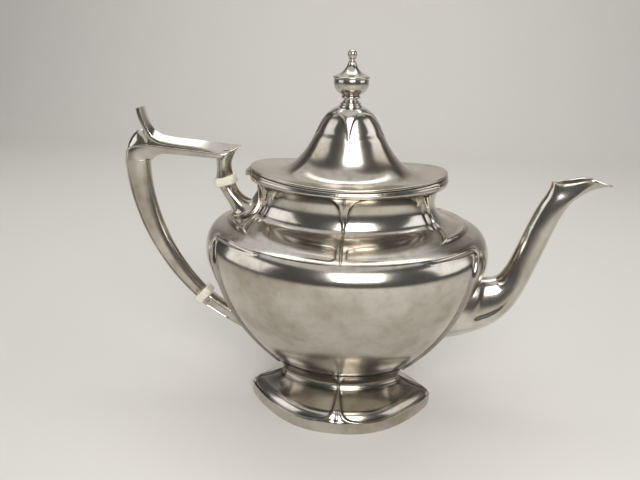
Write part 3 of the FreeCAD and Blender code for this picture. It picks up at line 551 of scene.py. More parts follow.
class TEAPOT_OT_foot(bpy.types.Operator):
    """The band on the table and the waisted pedestal with its panels"""

    bl_idname = "teapot.foot"
    bl_label = "Foot"

    def execute(self, context):
        sizes = lengths(context)
        foot, roll, waist, top = sizes.foot, sizes.roll, sizes.waist, sizes.pedestal
        base, wall, band_width = sizes.base_half, sizes.wall, 4.5
        band = outline([(base, 0.0, 12.0), (*foot, None), (foot[0] - band_width, foot[1], None),
                        (base - band_width, 0.0, None), (base, 0.0, None)], FINE_STEP)[:-1]
        rings, _ = self.drawn_in(sizes, band)
        add_piece(skin("foot_band", rings, closed=True), "foot_rim")
        outside = outline([(*foot, 9.0), (*roll, -60.0), (*waist, -30.0), (*top, None)], FINE_STEP)
        inside = outline([(top[0] - wall, top[1], 31.2), (waist[0] - wall, waist[1], 61.2),
                          (roll[0] - wall / 2, roll[1] - wall, -7.8), (foot[0] - wall, foot[1], None)], 3.0)
        sides = [self.drawn_in(sizes, outside, self.panels), self.drawn_in(sizes, inside)]
        add_piece(shell("pedestal", sides, closed=True), "foot")
        return {"FINISHED"}

    def drawn_in(self, sizes, line, relief=None):
        """Rings whose oval is drawn in to a point at both ends, less and less up to the waist."""
        most, roll, waist = 0.64, sizes.roll_height, sizes.waist_height
        rings, chasing_shade = oval_rings(sizes, line, relief)
        low = 1 - soft_step(line[:, 1:] - (roll + waist) / 2, waist - roll)
        rings[..., 1] *= 1 - most * low * (rings[..., 0] / line[:, :1]) ** 4
        return rings, chasing_shade

    def panels(self, sizes, field):
        """Panels on the foot's slope and small ones over the waist, parted by stems on all four sides."""
        depth, step = sizes.panel_depth, sizes.panel_step
        waist, top = sizes.waist_height, sizes.pedestal_height
        stem_top, edge = waist - 1.2, sizes.foot_height + 1.4
        front_spread, end_spread = 3.0, 2.0
        sides = np.minimum(curtain(field.side, stem_top - field.height, stem_top - edge, front_spread),
                           curtain(field.end, stem_top - field.height, stem_top - edge, end_spread))
        slope = np.minimum(sides, waist - 0.4 - field.height)
        relief, chasing_shade = sunk(slope, 1.3 * depth, step)
        stem_half, flare, border, corner = 0.9, 2.2, 0.8, 1.5
        stem = stem_half + flare * ((field.height - waist) / (top - waist)) ** 2
        beside = np.minimum(field.side, field.end) - stem
        band = rounded_inside(beside, top - border - field.height, corner)
        upper, dark = sunk(np.minimum(band, field.height - waist - 1.0), depth * 0.8, step)
        above = field.height > waist
        relief = np.where(above, upper, relief + crest(slope + 0.3, 0.25, 0.6))
        stems = crest(field.side, 0.35, 0.6) + crest(field.end, 0.5, 0.9)
        # The second value is painted shade at the foot of the panels' slopes.
        return relief + stems, np.where(above, dark, chasing_shade)


# Body

BOWL_BEND, BELLY_BEND, SHOULDER_BEND, NECK_BEND = 156.0, 20.0, 70.0, 12.5
# The bowl's leaves stand as much over its plain side as its panels lie under it.
LEAF_RISE = 0.35


def body_line(sizes):
    """The upright line of bowl, shoulder and neck at the pot's ends, with its corners softened."""
    line = outline([(*sizes.pedestal, BOWL_BEND), (*sizes.belly, BELLY_BEND), (*sizes.seam, SHOULDER_BEND),
                    (*sizes.neck, -NECK_BEND), (*sizes.throat, None)], FINE_STEP)
    way = travelled(line)
    even = np.linspace(0, way[-1], round(way[-1] / FINE_STEP))
    points = np.stack([np.interp(even, way, column) for column in line.T], axis=1)
    softness, reach = 3.0, 18
    weights = np.exp(-0.5 * (np.arange(-reach, reach + 1) * FINE_STEP / softness) ** 2)
    weights /= weights.sum()
    before = 2 * points[0] - points[reach:0:-1]
    after = 2 * points[-1] - points[-2:-reach - 2:-1]
    padded = np.concatenate([before, points, after])
    soft = np.stack([np.convolve(column, weights, "valid") for column in padded.T], axis=1)
    seam = np.searchsorted(soft[:, 1], sizes.seam_height)
    # Nothing runs across the belly, so that fewer rows do there.
    fine = (soft[:, 1] > sizes.belly_height) | (np.arange(len(soft)) % 2 == 0)
    return soft[:seam + 1][fine[:seam + 1]], soft[seam:]


def shoulder_sway(sizes, half, height, x):
    """The shoulder sinks a little at the front and back, and the neck evens out again under the lip."""
    belly, seam = sizes.belly_height, sizes.seam_height
    neck, throat = sizes.neck_height, sizes.throat_height
    rising = soft_step(height - (belly + seam) / 2, seam - belly)
    easing = 1 - soft_step(height - (neck + throat) / 2, throat - neck)
    return -sizes.shoulder_drop * rising * easing * (1 - (x / half) ** 2)


def rim_rise(sizes, x):
    """How far the rim rises from its front towards its ends, along an arc."""
    half, sag = sizes.lip_half, sizes.rim_sag
    bend = (half * half + sag * sag) / (2 * sag)
    return bend - np.sqrt(bend * bend - x * x)


class TEAPOT_OT_body(bpy.types.Operator):
    """The bowl, the shoulder with its neck, and the lip"""

    bl_idname = "teapot.body"
    bl_label = "Body"

    def execute(self, context):
        sizes = lengths(context)
        bowl_line, shoulder_line = body_line(sizes)
        self.bowl(sizes, bowl_line)
        self.shoulder(sizes, shoulder_line)
        self.lip(sizes)
        return {"FINISHED"}

    def bowl(self, sizes, outside):
        """The shell up to the shoulder line, with a ring of floor over the foot."""
        wall, foot, belly, seam = sizes.wall, sizes.pedestal, sizes.belly, sizes.seam
        inside = outline([(seam[0] - wall * 1.4, seam[1], wall - BELLY_BEND),
                          (belly[0] - wall, belly[1], wall - BOWL_BEND),
                          (foot[0] - wall * 1.42, foot[1] + wall, None)], 4.0)
        hole, floor_top, floor_low = 10.0, foot[1] + 2.1, foot[1] + 0.3
        floor = np.array([(foot[0] - 3, floor_top), (hole, floor_top), (hole, floor_low),
                          (foot[0] - 1.0, floor_low)])
        mesh = shell("panelled_bowl", [
            oval_rings(sizes, outside, self.end_leaves, sway=shoulder_sway),
            oval_rings(sizes, inside, sway=shoulder_sway),
            oval_rings(sizes, floor, roundness=self.floor_roundness),
        ], closed=True)
        add_piece(mesh, "bowl")

    def floor_roundness(self, sizes, half):
        """The floor is an oval at the foot and turns into a circle towards its middle."""
        return np.minimum(half / sizes.pedestal_half, 1)

    def end_leaves(self, sizes, field):
        """A long leaf down each end, edged by a bead, between the broad front and back panels."""
        step = sizes.panel_step
        # The leaf opens from its tip under the foot to its widest line, and draws in again to the shoulder.
        tip, widest, half, closing, corner = 12.0, 97.0, 36.0, 0.05, 4.5
        over = np.maximum(field.height - widest, 0)
        opening = half / (widest - tip)
        edge = opening * (field.height - tip) - closing * over ** 2
        beside = (field.end - edge) / np.hypot(1, opening - 2 * closing * over)
        inside = rounded_inside(beside, sizes.seam_height - 0.5 - field.height, corner)
        fade = 1 - soft_step(field.end - half - 10, 14)
        relief, chasing_shade = sunk(np.where(fade > 0, inside, 2 * step), 2 * LEAF_RISE, step * 1.4)
        bead = crest(inside + 0.1, 1.0, 1.2) * fade
        # The second value is painted shade at the foot of the slope beside the bead.
        return relief + LEAF_RISE + bead, chasing_shade * fade * 0.6

    def shoulder(self, sizes, outside):
        """The shell from the shoulder line in to the neck's top."""
        wall, seam, neck, throat = sizes.wall, sizes.seam, sizes.neck, sizes.throat
        inside = outline([(throat[0] - wall, throat[1], NECK_BEND + wall),
                          (neck[0] - wall, neck[1] - wall, wall - SHOULDER_BEND),
                          (seam[0] - wall * 1.4, seam[1], None)], 2.5)
        mesh = shell("panelled_shoulder", [
            oval_rings(sizes, outside, self.neck_panels, sway=shoulder_sway),
            oval_rings(sizes, inside, sway=shoulder_sway),
        ], closed=True)
        add_piece(mesh, "shoulder")

    def neck_panels(self, sizes, field):
        """Curtain panels round the neck, plates at the ends, and small panels along the shoulder."""
        depth, step = sizes.panel_depth, sizes.panel_step
        point, top = sizes.throat_height - 13.5, sizes.throat_height + 1.1
        # Under the point where two panels meet only a thin ridge is left between them.
        spread, closing = 2.7, 0.8
        neck = curtain(field.side, field.height - point, top - point, spread)
        neck = neck + closing * np.maximum(point - field.height, 0)
        # The end plates narrow up the shoulder to the neck's hollow and widen again to the lip.
        plate_low, narrowest, narrow_half, widening, border = 9.5, 29.0, 15.4, 0.046, 4.0
        beyond = field.run - narrowest
        plate = narrow_half + widening * beyond ** 2 - field.end
        plate_slope = np.hypot(1, 2 * widening * beyond)
        raised = np.minimum(plate / plate_slope, field.run - plate_low)
        front, chasing_shade = sunk(np.minimum(neck, (-plate - border) / plate_slope), depth, step)
        on_neck = soft_step(field.run - 21.0, 9.0)
        near_front = 1 - soft_step(field.side - 8, 12)
        shown = np.maximum(on_neck, near_front)
        plates = crest(raised - 0.4, 1.15, 1.15) - 0.4 * soft_step(raised - 1.8, 3.0)
        # Painted shade in the hollow just outside each end plate's bead.
        hollow = crest(raised + 1.5, 0.7, step)
        # Small panels beside the front ridge, which fade out along the shoulder.
        low, high, inset, corner = 2.0, 14.6, 2.3, 4.4
        small = rounded_inside(field.side - inset, np.minimum(field.run - low, high - field.run), corner)
        fade = 1 - soft_step(field.side - 14, 22)
        lower, dark = sunk(small, depth * 0.6, step)
        ridge = crest(field.side, 0.38, 0.48)
        shade = np.maximum(chasing_shade * shown, dark * fade * 0.4)
        from_seam = LEAF_RISE * (1 - soft_step(field.run - 3.0, 6.0))
        return front * shown + plates + lower * fade + ridge + from_seam, np.maximum(shade, hollow)

    def lip(self, sizes):
        """The moulding round the mouth, whose top sags at the front and back."""
        throat, half = sizes.throat, sizes.lip_half
        front = sizes.lip_end - sizes.rim_sag
        mouth = throat[0] - 1.4
        line = outline([(*throat, -3.2), (half - 1.0, front - 3.2, 1.3), (half, front - 1.0, 0.8),
                        (half - 0.8, front, None), (mouth, front, None), (mouth, throat[1], None),
                        (*throat, None)], 0.6)[:-1]
        rings, _ = oval_rings(sizes, line, sway=self.follow_rim)
        add_piece(skin("lip_moulding", rings, closed=True), "neck_rim")

    def follow_rim(self, sizes, half, height, x):
        """The lip follows its rim at the top, and is level where it meets the neck."""
        front, throat = sizes.lip_end - sizes.rim_sag, sizes.throat_height
        return np.clip((height - throat) / (front - throat), 0, 1) * rim_rise(sizes, x)


# Lid and knob

class TEAPOT_OT_lid(bpy.types.Operator):
    """The bell lid with its sagging flange and four panels"""

    bl_idname = "teapot.lid"
    bl_label = "Lid"

    def execute(self, context):
        sizes = lengths(context)
        half, wall = sizes.lip_half, sizes.wall
        top, top_half = sizes.dome_top, sizes.dome_top_half
        under = sizes.lip_end - sizes.rim_sag + sizes.gap
        flange = under + sizes.edge
        # Half lengths of the bell, and how high they lie over the flange.
        slope = ((47.0, -0.3), (41.0, 0.5), (35.5, 2.6), (30.2, 6.5), (25.6, 11.4), (21.6, 17.2),
                 (18.4, 23.4), (15.6, 29.2), (12.6, 33.4), (top_half + 1.2, 36.0))
        brim = half - 0.9
        bell = flowing([(brim, flange), *((out, flange + up) for out, up in slope), (top_half, top)], 9)
        rim = outline([(half - 6.0, under, None), (half - 0.7, under, 0.75), (brim, flange, None)],
                      FINE_STEP)[:-1]
        inner = bell[::-3] - np.array([wall, 0.0])
        inner = inner[(inner[:, 1] < top - 3) & (inner[:, 0] < half - 9)]
        inner[:, 1] -= wall * np.clip((inner[:, 0] - 10) / 30, 0, 1) * 0.6
        inner = np.concatenate([inner, [(half - 7.0, under)]])
        mesh = shell("bell_lid", [
            oval_rings(sizes, inner, None, self.roundness, self.follow_rim),
            oval_rings(sizes, np.concatenate([rim, bell]), self.panels, self.roundness, self.follow_rim),
        ], ends=((0, 0, top - wall), (0, 0, top)))
        add_piece(mesh, "lid", body="lid")
        return {"FINISHED"}

    def roundness(self, sizes, half):
        """The lid is an oval at its flange and turns into a circle under the knob."""
        top_half = sizes.dome_top_half
        return np.clip((half - top_half) / (sizes.lip_half - top_half), 0, 1)

    def follow_rim(self, sizes, half, height, x):
        """The flange follows the lip's rim, and the bell stands level."""
        blend_middle, blend_width = 37, 24
        return soft_step(half - blend_middle, blend_width) * rim_rise(sizes, x)

    def panels(self, sizes, field):
        """Four panels with arched tops, parted by points at the front, the back and both ends."""
        point, arch, spread = sizes.dome_top - 14.0, sizes.dome_top - 0.9, 1.8
        rise = field.height - point
        inside = np.minimum(curtain(field.side, rise, arch - point, spread),
                            curtain(field.end, rise, arch - point, spread))
        relief, chasing_shade = sunk(inside, 1.2 * sizes.panel_depth, sizes.panel_step)
        fade = soft_step(rise, 5.0)
        # The second value is painted shade at the foot of the panels' slopes.
        return relief * fade, chasing_shade * fade


class TEAPOT_OT_knob(bpy.types.Operator):
    """The turned collar and the urn knob"""

    bl_idname = "teapot.knob"
    bl_label = "Knob"

    def execute(self, context):
        sizes = lengths(context)
        seat, top, radius, urn = sizes.dome_top, sizes.knob_top, sizes.collar_radius, sizes.urn_radius
        low = seat + 2.8
        self.turn("knob_collar", "finial_collar", [
            (radius + 0.3, seat, 1.1), (radius + 0.3, seat + 1.2, None), (radius - 0.4, seat + 1.3, None),
            (radius - 0.4, seat + 1.6, 0.8), (radius - 0.8, low, None), (3.2, low, None),
        ])
        self.turn("urn_knob", "finial", [
            (4.2, low, 0.6), (4.2, low + 0.9, None), (3.7, low + 1.1, -1.2), (3.7, low + 1.9, None),
            (4.9, low + 2.1, 0.8), (4.9, low + 3.3, None), (4.3, low + 3.5, 7.2),
            (urn - 0.4, low + 12.0, None), (urn - 0.6, low + 12.2, None), (urn, low + 12.5, 0.7),
            (urn, low + 13.6, None), (urn - 1.2, low + 14.0, -10.0), (2.1, top - 6.7, None),
            (2.5, top - 6.5, 1.0), (2.4, top - 4.5, None), (2.05, top - 4.3, None), (2.1, top - 4.15, 2.76),
            (0.3, top, None),
        ])
        return {"FINISHED"}

    def turn(self, name, node, corners):
        """A turned piece from the corners of its upright half section, which starts and ends on a flat."""
        line = outline(corners, 0.25)
        cosine, sine = rounded_ring(72, 2)
        rings = np.stack([line[:, :1] * cosine, line[:, :1] * sine,
                          np.repeat(line[:, 1:], len(sine), axis=1)], axis=-1)
        mesh = skin(name, rings, ends=((0, 0, corners[0][1]), (0, 0, corners[-1][1])))
        mesh.set_sharp_from_angle(angle=math.radians(50))
        add_piece(mesh, node, body="lid")


# Spout

def rounded_ring(around, power):
    """Half lengths and half widths once round a ring: power 2 is an oval, less is more pointed."""
    turns = np.linspace(0, TURN, around, endpoint=False)
    return [np.sign(way) * np.abs(way) ** (2 / power) for way in (np.cos(turns), np.sin(turns))]


def keeled_ring(around, keel):
    """A ring that widens from its top to a crease on each side, and draws in from there to a keel."""
    crease = math.acos(-keel)
    above = np.linspace(0, crease, around // 3, endpoint=False)
    below = np.linspace(crease, math.pi, around // 6)
    turns = np.concatenate([above, below])
    turns = np.concatenate([turns, TURN - turns[-2:0:-1]])
    long = np.cos(turns)
    round_side = np.sqrt(np.clip(1 - (np.maximum(long + keel, 0) / (1 + keel)) ** 2, 0, 1))
    drawn_in = np.clip((1 + long) / (1 - keel), 0, 1) ** 0.7
    return long, np.sign(np.sin(turns)) * np.minimum(round_side, drawn_in)


def lofted(upper, lower, widths, ring):
    """Rings between two lines in the pot's middle plane. Each ring starts at the upper line."""
    long, wide = ring
    middle, reach = (upper + lower) / 2, (upper - lower) / 2
    return np.stack([
        middle[:, :1] + reach[:, :1] * long,
        -widths[:, None] * wide,
        middle[:, 1:] + reach[:, 1:] * long,
    ], axis=-1)


class TEAPOT_OT_spout(bpy.types.Operator):
    """The gooseneck spout with its wired, open mouth"""

    bl_idname = "teapot.spout"
    bl_label = "Spout"

    def execute(self, context):
        steps, around, keel, wall, rim_radius, sink = 10, 96, 0.46, 0.9, 0.55, 0.055
        upper, lower, widths = flowing_pair((
            (66.0, 92.0, 48.0, 44.5, 14.0), (77.5, 89.9, 65.0, 49.0, 13.4), (84.0, 89.2, 78.5, 53.8, 12.2),
            (89.2, 90.7, 90.8, 60.8, 10.4), (92.6, 95.0, 99.6, 71.0, 8.8), (95.8, 102.3, 105.0, 82.0, 7.5),
            (98.9, 112.0, 109.4, 95.2, 6.7), (101.9, 121.5, 113.2, 107.6, 6.3),
            (104.8, 129.8, 116.7, 119.2, 6.2), (107.6, 136.3, 120.2, 129.6, 6.1),
            (109.9, 140.6, 125.6, 138.2, 5.9), (111.4, 144.4, 134.3, 144.4, 5.4),
            (112.0, 147.8, 144.4, 146.8, 4.9),
        ), steps)
        ring = keeled_ring(around, keel)
        along = np.linspace(0, 1, len(upper))[:, None]
        outer = lofted(upper, lower, widths, ring)
        outer[..., 1] *= 1 - sink * self.root_panel(along, ring[0])
        self.shape_mouth(outer, along, ring[0])
        across = (upper - lower) / np.linalg.norm(upper - lower, axis=1)[:, None]
        inner = lofted(upper - across * wall, lower + across * wall, widths - wall, ring)
        self.shape_mouth(inner, along, ring[0])
        inside = inner[-5 * steps:][::-1]
        rim = wire((outer[-1] + inside[0]) / 2, rim_radius)
        mesh = joined("gooseneck", [skin("spout_wall", np.concatenate([outer, inside])), rim])
        add_piece(mesh, "spout")
        return {"FINISHED"}

    def root_panel(self, along, across):
        """The sunk leaf on each side of the spout's root, which fades out up the spout."""
        inside = np.minimum(across + 0.16, 0.9 - across)
        return soft_step(inside, 0.07) * soft_step(along - 0.13, 0.02) * (1 - soft_step(along - 0.27, 0.16))

    def shape_mouth(self, rows, along, across):
        """Draws the mouth to a point and gives its rim a hump."""
        pointed = 0.35
        weight = soft_step(along - 0.93, 0.14)
        from_heel = (1 - across) / 2
        hump = crest(from_heel - 0.6, 2.8, 0.27) - crest(from_heel - 0.1, 0.7, 0.08)
        rows[..., 1] *= 1 + weight * pointed * across
        rows[..., 2] += weight * hump


# Handle

GRIP_BEND = 115.2
GRIP_TOP = (-120.5, 151.5)
GRIP_MIDDLE = (GRIP_TOP[0] + GRIP_BEND, GRIP_TOP[1])
GRIP_SWEEP = math.radians(44.5)
# Half depths at its two ends, half width by half depth, and where the flat back cuts the round.
GRIP_DEPTHS = (6.2, 3.9)
GRIP_FLATNESS = 0.9
GRIP_BACK = 0.45


def mirrored_ring(half):
    """A ring from its near half, whose first and last points lie in the pot's middle plane."""
    return half + [(x, -y, z) for x, y, z in half[-2:0:-1]]


def between(start, end, share, beside):
    """A point on the way between two points of the pot's middle plane, moved out of it to the near side."""
    x, z = start + share * (end - start)
    return x, -beside, z


class TEAPOT_OT_handle(bpy.types.Operator):
    """The top bar with its beak and thumb rest, and the curved grip"""

    bl_idname = "teapot.handle"
    bl_label = "Handle"

    def execute(self, context):
        edge, bar = self.bar()
        mesh = joined("handle_bar", [self.crown(), bar, self.stub()])
        sharp = math.radians(32)
        mesh.set_sharp_from_angle(angle=sharp)
        rounding = add_piece(mesh, "handle_top_bar").modifiers.new("Softened edges", "BEVEL")
        rounding.width = 0.2 * MM
        rounding.segments = 2
        rounding.angle_limit = sharp
        self.grip(edge)
        return {"FINISHED"}

    def crown(self):
        """The roof-shaped top moulding from the beak along the bar, which flattens into the thumb rest."""
        # Its ridge, its side edge and its back, each as x and z, and its half width.
        rows = []
        for row in flowing((
            (-60.5, 161.9, -61.0, 161.5, -61.2, 161.1, 0.4), (-65.6, 162.3, -65.6, 159.4, -65.8, 158.7, 3.0),
            (-70.6, 162.7, -70.4, 157.4, -70.6, 156.4, 5.4), (-79.0, 163.4, -79.0, 159.2, -79.2, 158.0, 5.2),
            (-88.0, 164.1, -88.0, 160.6, -88.2, 159.3, 5.0), (-98.0, 164.9, -98.0, 161.7, -98.2, 160.4, 5.0),
            (-105.0, 166.1, -105.0, 162.8, -106.3, 161.3, 4.9),
            (-109.0, 167.9, -109.7, 165.2, -111.7, 163.9, 4.7),
            (-111.9, 170.7, -112.5, 169.0, -114.7, 168.0, 4.5),
            (-114.6, 175.6, -115.2, 175.2, -117.6, 174.6, 4.3),
            (-116.2, 181.3, -116.7, 181.3, -119.1, 180.8, 3.9),
        ), 8):
            ridge, edge, back = row[:6].reshape(3, 2)
            half = row[6]
            near = [between(ridge, edge, share, half * share) for share in np.linspace(0, 1, 7)]
            near += [between(edge, back, share, half + 0.3 * math.sin(share * math.pi))
                     for share in (0.25, 0.5, 0.75, 1.0)]
            near += [between(edge, back, 1 + 0.35 * (1 - share), half * share) for share in (0.7, 0.35, 0.0)]
            rows.append(mirrored_ring(near))
        return skin("crown", rows)

    def bar(self):
        """The line of the near edge, and the bar under the moulding with its corner down on to the grip."""
        rows = []
        start, end, full_half = -70.2, -113.5, 5.6
        fillet_start, fillet = -103.0, 0.047
        for x in np.linspace(start, end, 36):
            share = (x - start) / (end - start)
            half = min(full_half, 4.6 + 0.35 * (start - x))
            low = 153.9 + 2.4 * share - fillet * max(fillet_start - x, 0) ** 2
            edge, top = 156.8 + 3.7 * share, 157.6 + 5.2 * share
            narrowed = soft_step(-108.0 - x, 10.0)
            near = [(x, -half * wide, low + way * (edge - low)) for way, wide in self.side(narrowed, 0.0)]
            near += [(x, -half * wide, edge + way * (top - edge))
                     for way, wide in ((0.1, 0.96), (0.5, 0.95), (1.0, 0.86), (1.0, 0.0))]
            rows.append(mirrored_ring(near))
        # Turning the corner: where the fillet under it, its side edge and its outside lie.
        corner = flowing((
            (-113.60, 151.12, -114.0, 160.5, -113.4, 165.7), (-113.70, 151.16, -116.4, 160.3, -115.8, 168.0),
            (-113.80, 151.20, -119.4, 160.0, -119.1, 168.6), (-113.90, 151.26, -121.4, 159.7, -121.8, 167.0),
            (-114.00, 151.32, -122.9, 159.2, -123.8, 165.0), (-114.10, 151.38, -124.9, 157.9, -125.9, 161.6),
            (-114.25, 151.44, -125.7, 155.8, -126.7, 157.2), (-114.40, 151.50, -126.4, 151.2, -126.7, 151.2),
        ), 4)
        for share, spots in zip(np.linspace(0, 1, len(corner)), corner):
            inner, edge, outside = spots.reshape(3, 2)
            back = ((0.1, 0.94 - 0.06 * share), (0.5, 0.62), (0.88, 0.24), (1.0, 0.0))
            near = [between(inner, edge, way, full_half * wide) for way, wide in self.side(1.0, share)]
            near += [between(edge, outside, way, full_half * wide) for way, wide in back]
            rows.append(mirrored_ring(near))
        edge_at = len(self.side(0.0, 0.0)) - 1
        return np.array([row[edge_at] for row in rows]), skin("bar", rows)

    def side(self, narrowed, turned):
        """The near side from the underside to the edge, as shares of height and width.

        It goes over from the bar's into the grip's, first at its underside and then at its edge.
        """
        heights = np.array((0.0, 0.0, 0.15, 0.5, 0.8, 0.93, 1.0))
        bar = np.array((0.0, 0.55, 0.78, 0.93, 0.94, 0.97, 0.97))
        rib = np.array((0.0, 0.2, 0.63, 0.96, 0.985, 0.94, 0.89))
        shares = np.array([narrowed] * 3 + [turned] * 4)
        return np.stack([heights, bar + shares * (rib - bar)], axis=1)

    def stub(self):
        """The stub from the bar down to the upper heat break, drawn out to the beak at its top."""
        right, left, widths = flowing_pair((
            (-65.9, 144.9, -76.0, 142.2, 5.3), (-66.6, 148.5, -75.4, 146.5, 4.9),
            (-66.4, 152.3, -75.4, 150.5, 4.8), (-64.9, 156.6, -75.8, 154.5, 4.7),
            (-62.2, 160.8, -76.2, 158.0, 3.8),
        ), 6)
        return skin("stub", lofted(right, left, widths, rounded_ring(40, 1.4)))

    def grip(self, bar_edge):
        """The grip, swept along its arc by nodes, and the beads along both edges of bar and grip."""
        rib = grown(grip_tree(), bpy.data.meshes.new("grip_path"))
        bead_radius, bead_inset = 0.6, 0.2
        turn = np.linspace(0, GRIP_SWEEP, 60)
        deep = GRIP_DEPTHS[0] + (GRIP_DEPTHS[1] - GRIP_DEPTHS[0]) * turn / GRIP_SWEEP
        out = GRIP_BEND + deep - bead_inset
        grip_edge = np.stack([
            GRIP_MIDDLE[0] - out * np.cos(turn),
            -deep * GRIP_FLATNESS * math.sqrt(1 - GRIP_BACK ** 2),
            GRIP_MIDDLE[1] - out * np.sin(turn),
        ], axis=1)
        line = np.concatenate([bar_edge[3:-1], grip_edge])
        beads = [wire(line * np.array((1, side, 1)), bead_radius, closed=False) for side in (1, -1)]
        add_piece(joined("curved_grip", [rib, *beads]), "handle_grip")


def grown(tree, path, **inputs):
    """The plain mesh that a tree of nodes grows from a path, with inputs given by name."""
    carrier = bpy.data.objects.new("growing", path)
    bpy.context.scene.collection.objects.link(carrier)
    growth = carrier.modifiers.new("Growth", "NODES")
    growth.node_group = tree
    inputs["Material"] = finish_of("silver_plate")
    for item in tree.interface.items_tree:
        if item.in_out == "INPUT" and item.name != "Geometry":
            growth[item.identifier] = inputs.get(item.name, item.default_value)
    evaluated = carrier.evaluated_get(bpy.context.evaluated_depsgraph_get())
    mesh = bpy.data.meshes.new_from_object(evaluated)
    bpy.data.objects.remove(carrier)
    bpy.data.meshes.remove(path)
    mesh.materials.clear()
    mesh.shade_smooth()
    return mesh


def new_tree(name, **sizes):
    """Empty geometry nodes with named inputs for sizes and a material, and the outputs that give them."""
    tree = bpy.data.node_groups.new(name, "GeometryNodeTree")
    tree.interface.new_socket("Geometry", in_out="INPUT", socket_type="NodeSocketGeometry")
    for size, default in sizes.items():
        socket = tree.interface.new_socket(size, in_out="INPUT", socket_type="NodeSocketFloat")
        socket.default_value = default
    tree.interface.new_socket("Material", in_out="INPUT", socket_type="NodeSocketMaterial")
    tree.interface.new_socket("Geometry", in_out="OUTPUT", socket_type="NodeSocketGeometry")
    return Nodes(tree), tree.nodes.new("NodeGroupInput").outputs


def swept_tree(nodes, curve, section, material, **inputs):
    """Ends a tree with a section swept along a curve, as real geometry in its material."""
    swept = nodes.add("GeometryNodeCurveToMesh", {
        "Curve": curve, "Profile Curve": section, "Fill Caps": True, **inputs,
    })
    whole = nodes.add("GeometryNodeRealizeInstances", {"Geometry": swept})
    coated = nodes.add("GeometryNodeSetMaterial", {"Geometry": whole, "Material": material})
    nodes.add("NodeGroupOutput", {"Geometry": coated})
    return nodes.tree


def wire_tree(name):
    """Nodes that sweep a round wire along a line."""
    nodes, given = new_tree(name, Radius=0.5 * MM)
    line = nodes.add("GeometryNodeMeshToCurve", {"Mesh": given["Geometry"]})
    circle = nodes.add("GeometryNodeCurvePrimitiveCircle", {"Resolution": 12, "Radius": given["Radius"]})
    return swept_tree(nodes, line, circle, given["Material"])


def wire(points, radius, closed=True):
    """A round wire along points in millimetres."""
    name = "Wire along a line"
    tree = bpy.data.node_groups.get(name) or wire_tree(name)
    count = len(points)
    edges = [(at, (at + 1) % count) for at in range(count if closed else count - 1)]
    path = bpy.data.meshes.new("wire_path")
    path.from_pydata((points * MM).tolist(), edges, [])
    return grown(tree, path, Radius=radius * MM)


def grip_tree():
    """Nodes that sweep a rounded rib with a flat back along the grip's arc, slimmer at its lower end."""
    nodes, given = new_tree("Grip along its arc", Bend=GRIP_BEND * MM, Sweep=GRIP_SWEEP,
                            Top=GRIP_DEPTHS[0] * MM, End=GRIP_DEPTHS[1] * MM, Flatness=GRIP_FLATNESS,
                            Back=GRIP_BACK)
    arc = nodes.add("GeometryNodeCurveArc", {
        "Resolution": 72, "Radius": given["Bend"], "Sweep Angle": given["Sweep"],
    })
    # The arc lies flat at first: it is stood up in the pot's middle plane, below the bar's corner.
    stood = nodes.add("GeometryNodeTransform", {
        "Geometry": arc,
        "Translation": (GRIP_MIDDLE[0] * MM, 0.0, GRIP_MIDDLE[1] * MM),
        "Rotation": (-math.pi / 2, 0.0, math.pi),
    })
    level = nodes.add("GeometryNodeSetCurveNormal", {"Curve": stood}, mode="Z_UP")
    share = nodes.add("GeometryNodeSplineParameter")
    taper = nodes.spread(share, 0.0, 1.0, given["Top"], given["End"])
    # The flat back cuts a circle, and what is left is stretched to the circle's depth again.
    circle = nodes.add("GeometryNodeCurvePrimitiveCircle", {"Resolution": 48, "Radius": 1.0})
    place = nodes.add("GeometryNodeInputPosition")
    across, deep = (nodes.add("ShaderNodeSeparateXYZ", {"Vector": place}, axis) for axis in "XY")
    cut = nodes.calc("MINIMUM", deep, given["Back"])
    stretched = nodes.spread(cut, -1.0, given["Back"], -1.0, 1.0)
    spot = nodes.add("ShaderNodeCombineXYZ", {"X": across, "Y": stretched})
    backed = nodes.add("GeometryNodeSetPosition", {"Geometry": circle, "Position": spot})
    flatness = nodes.add("ShaderNodeCombineXYZ", {"X": given["Flatness"], "Y": 1.0, "Z": 1.0})
    section = nodes.add("GeometryNodeTransform", {"Geometry": backed, "Scale": flatness})
    return swept_tree(nodes, level, section, given["Material"], Scale=taper)


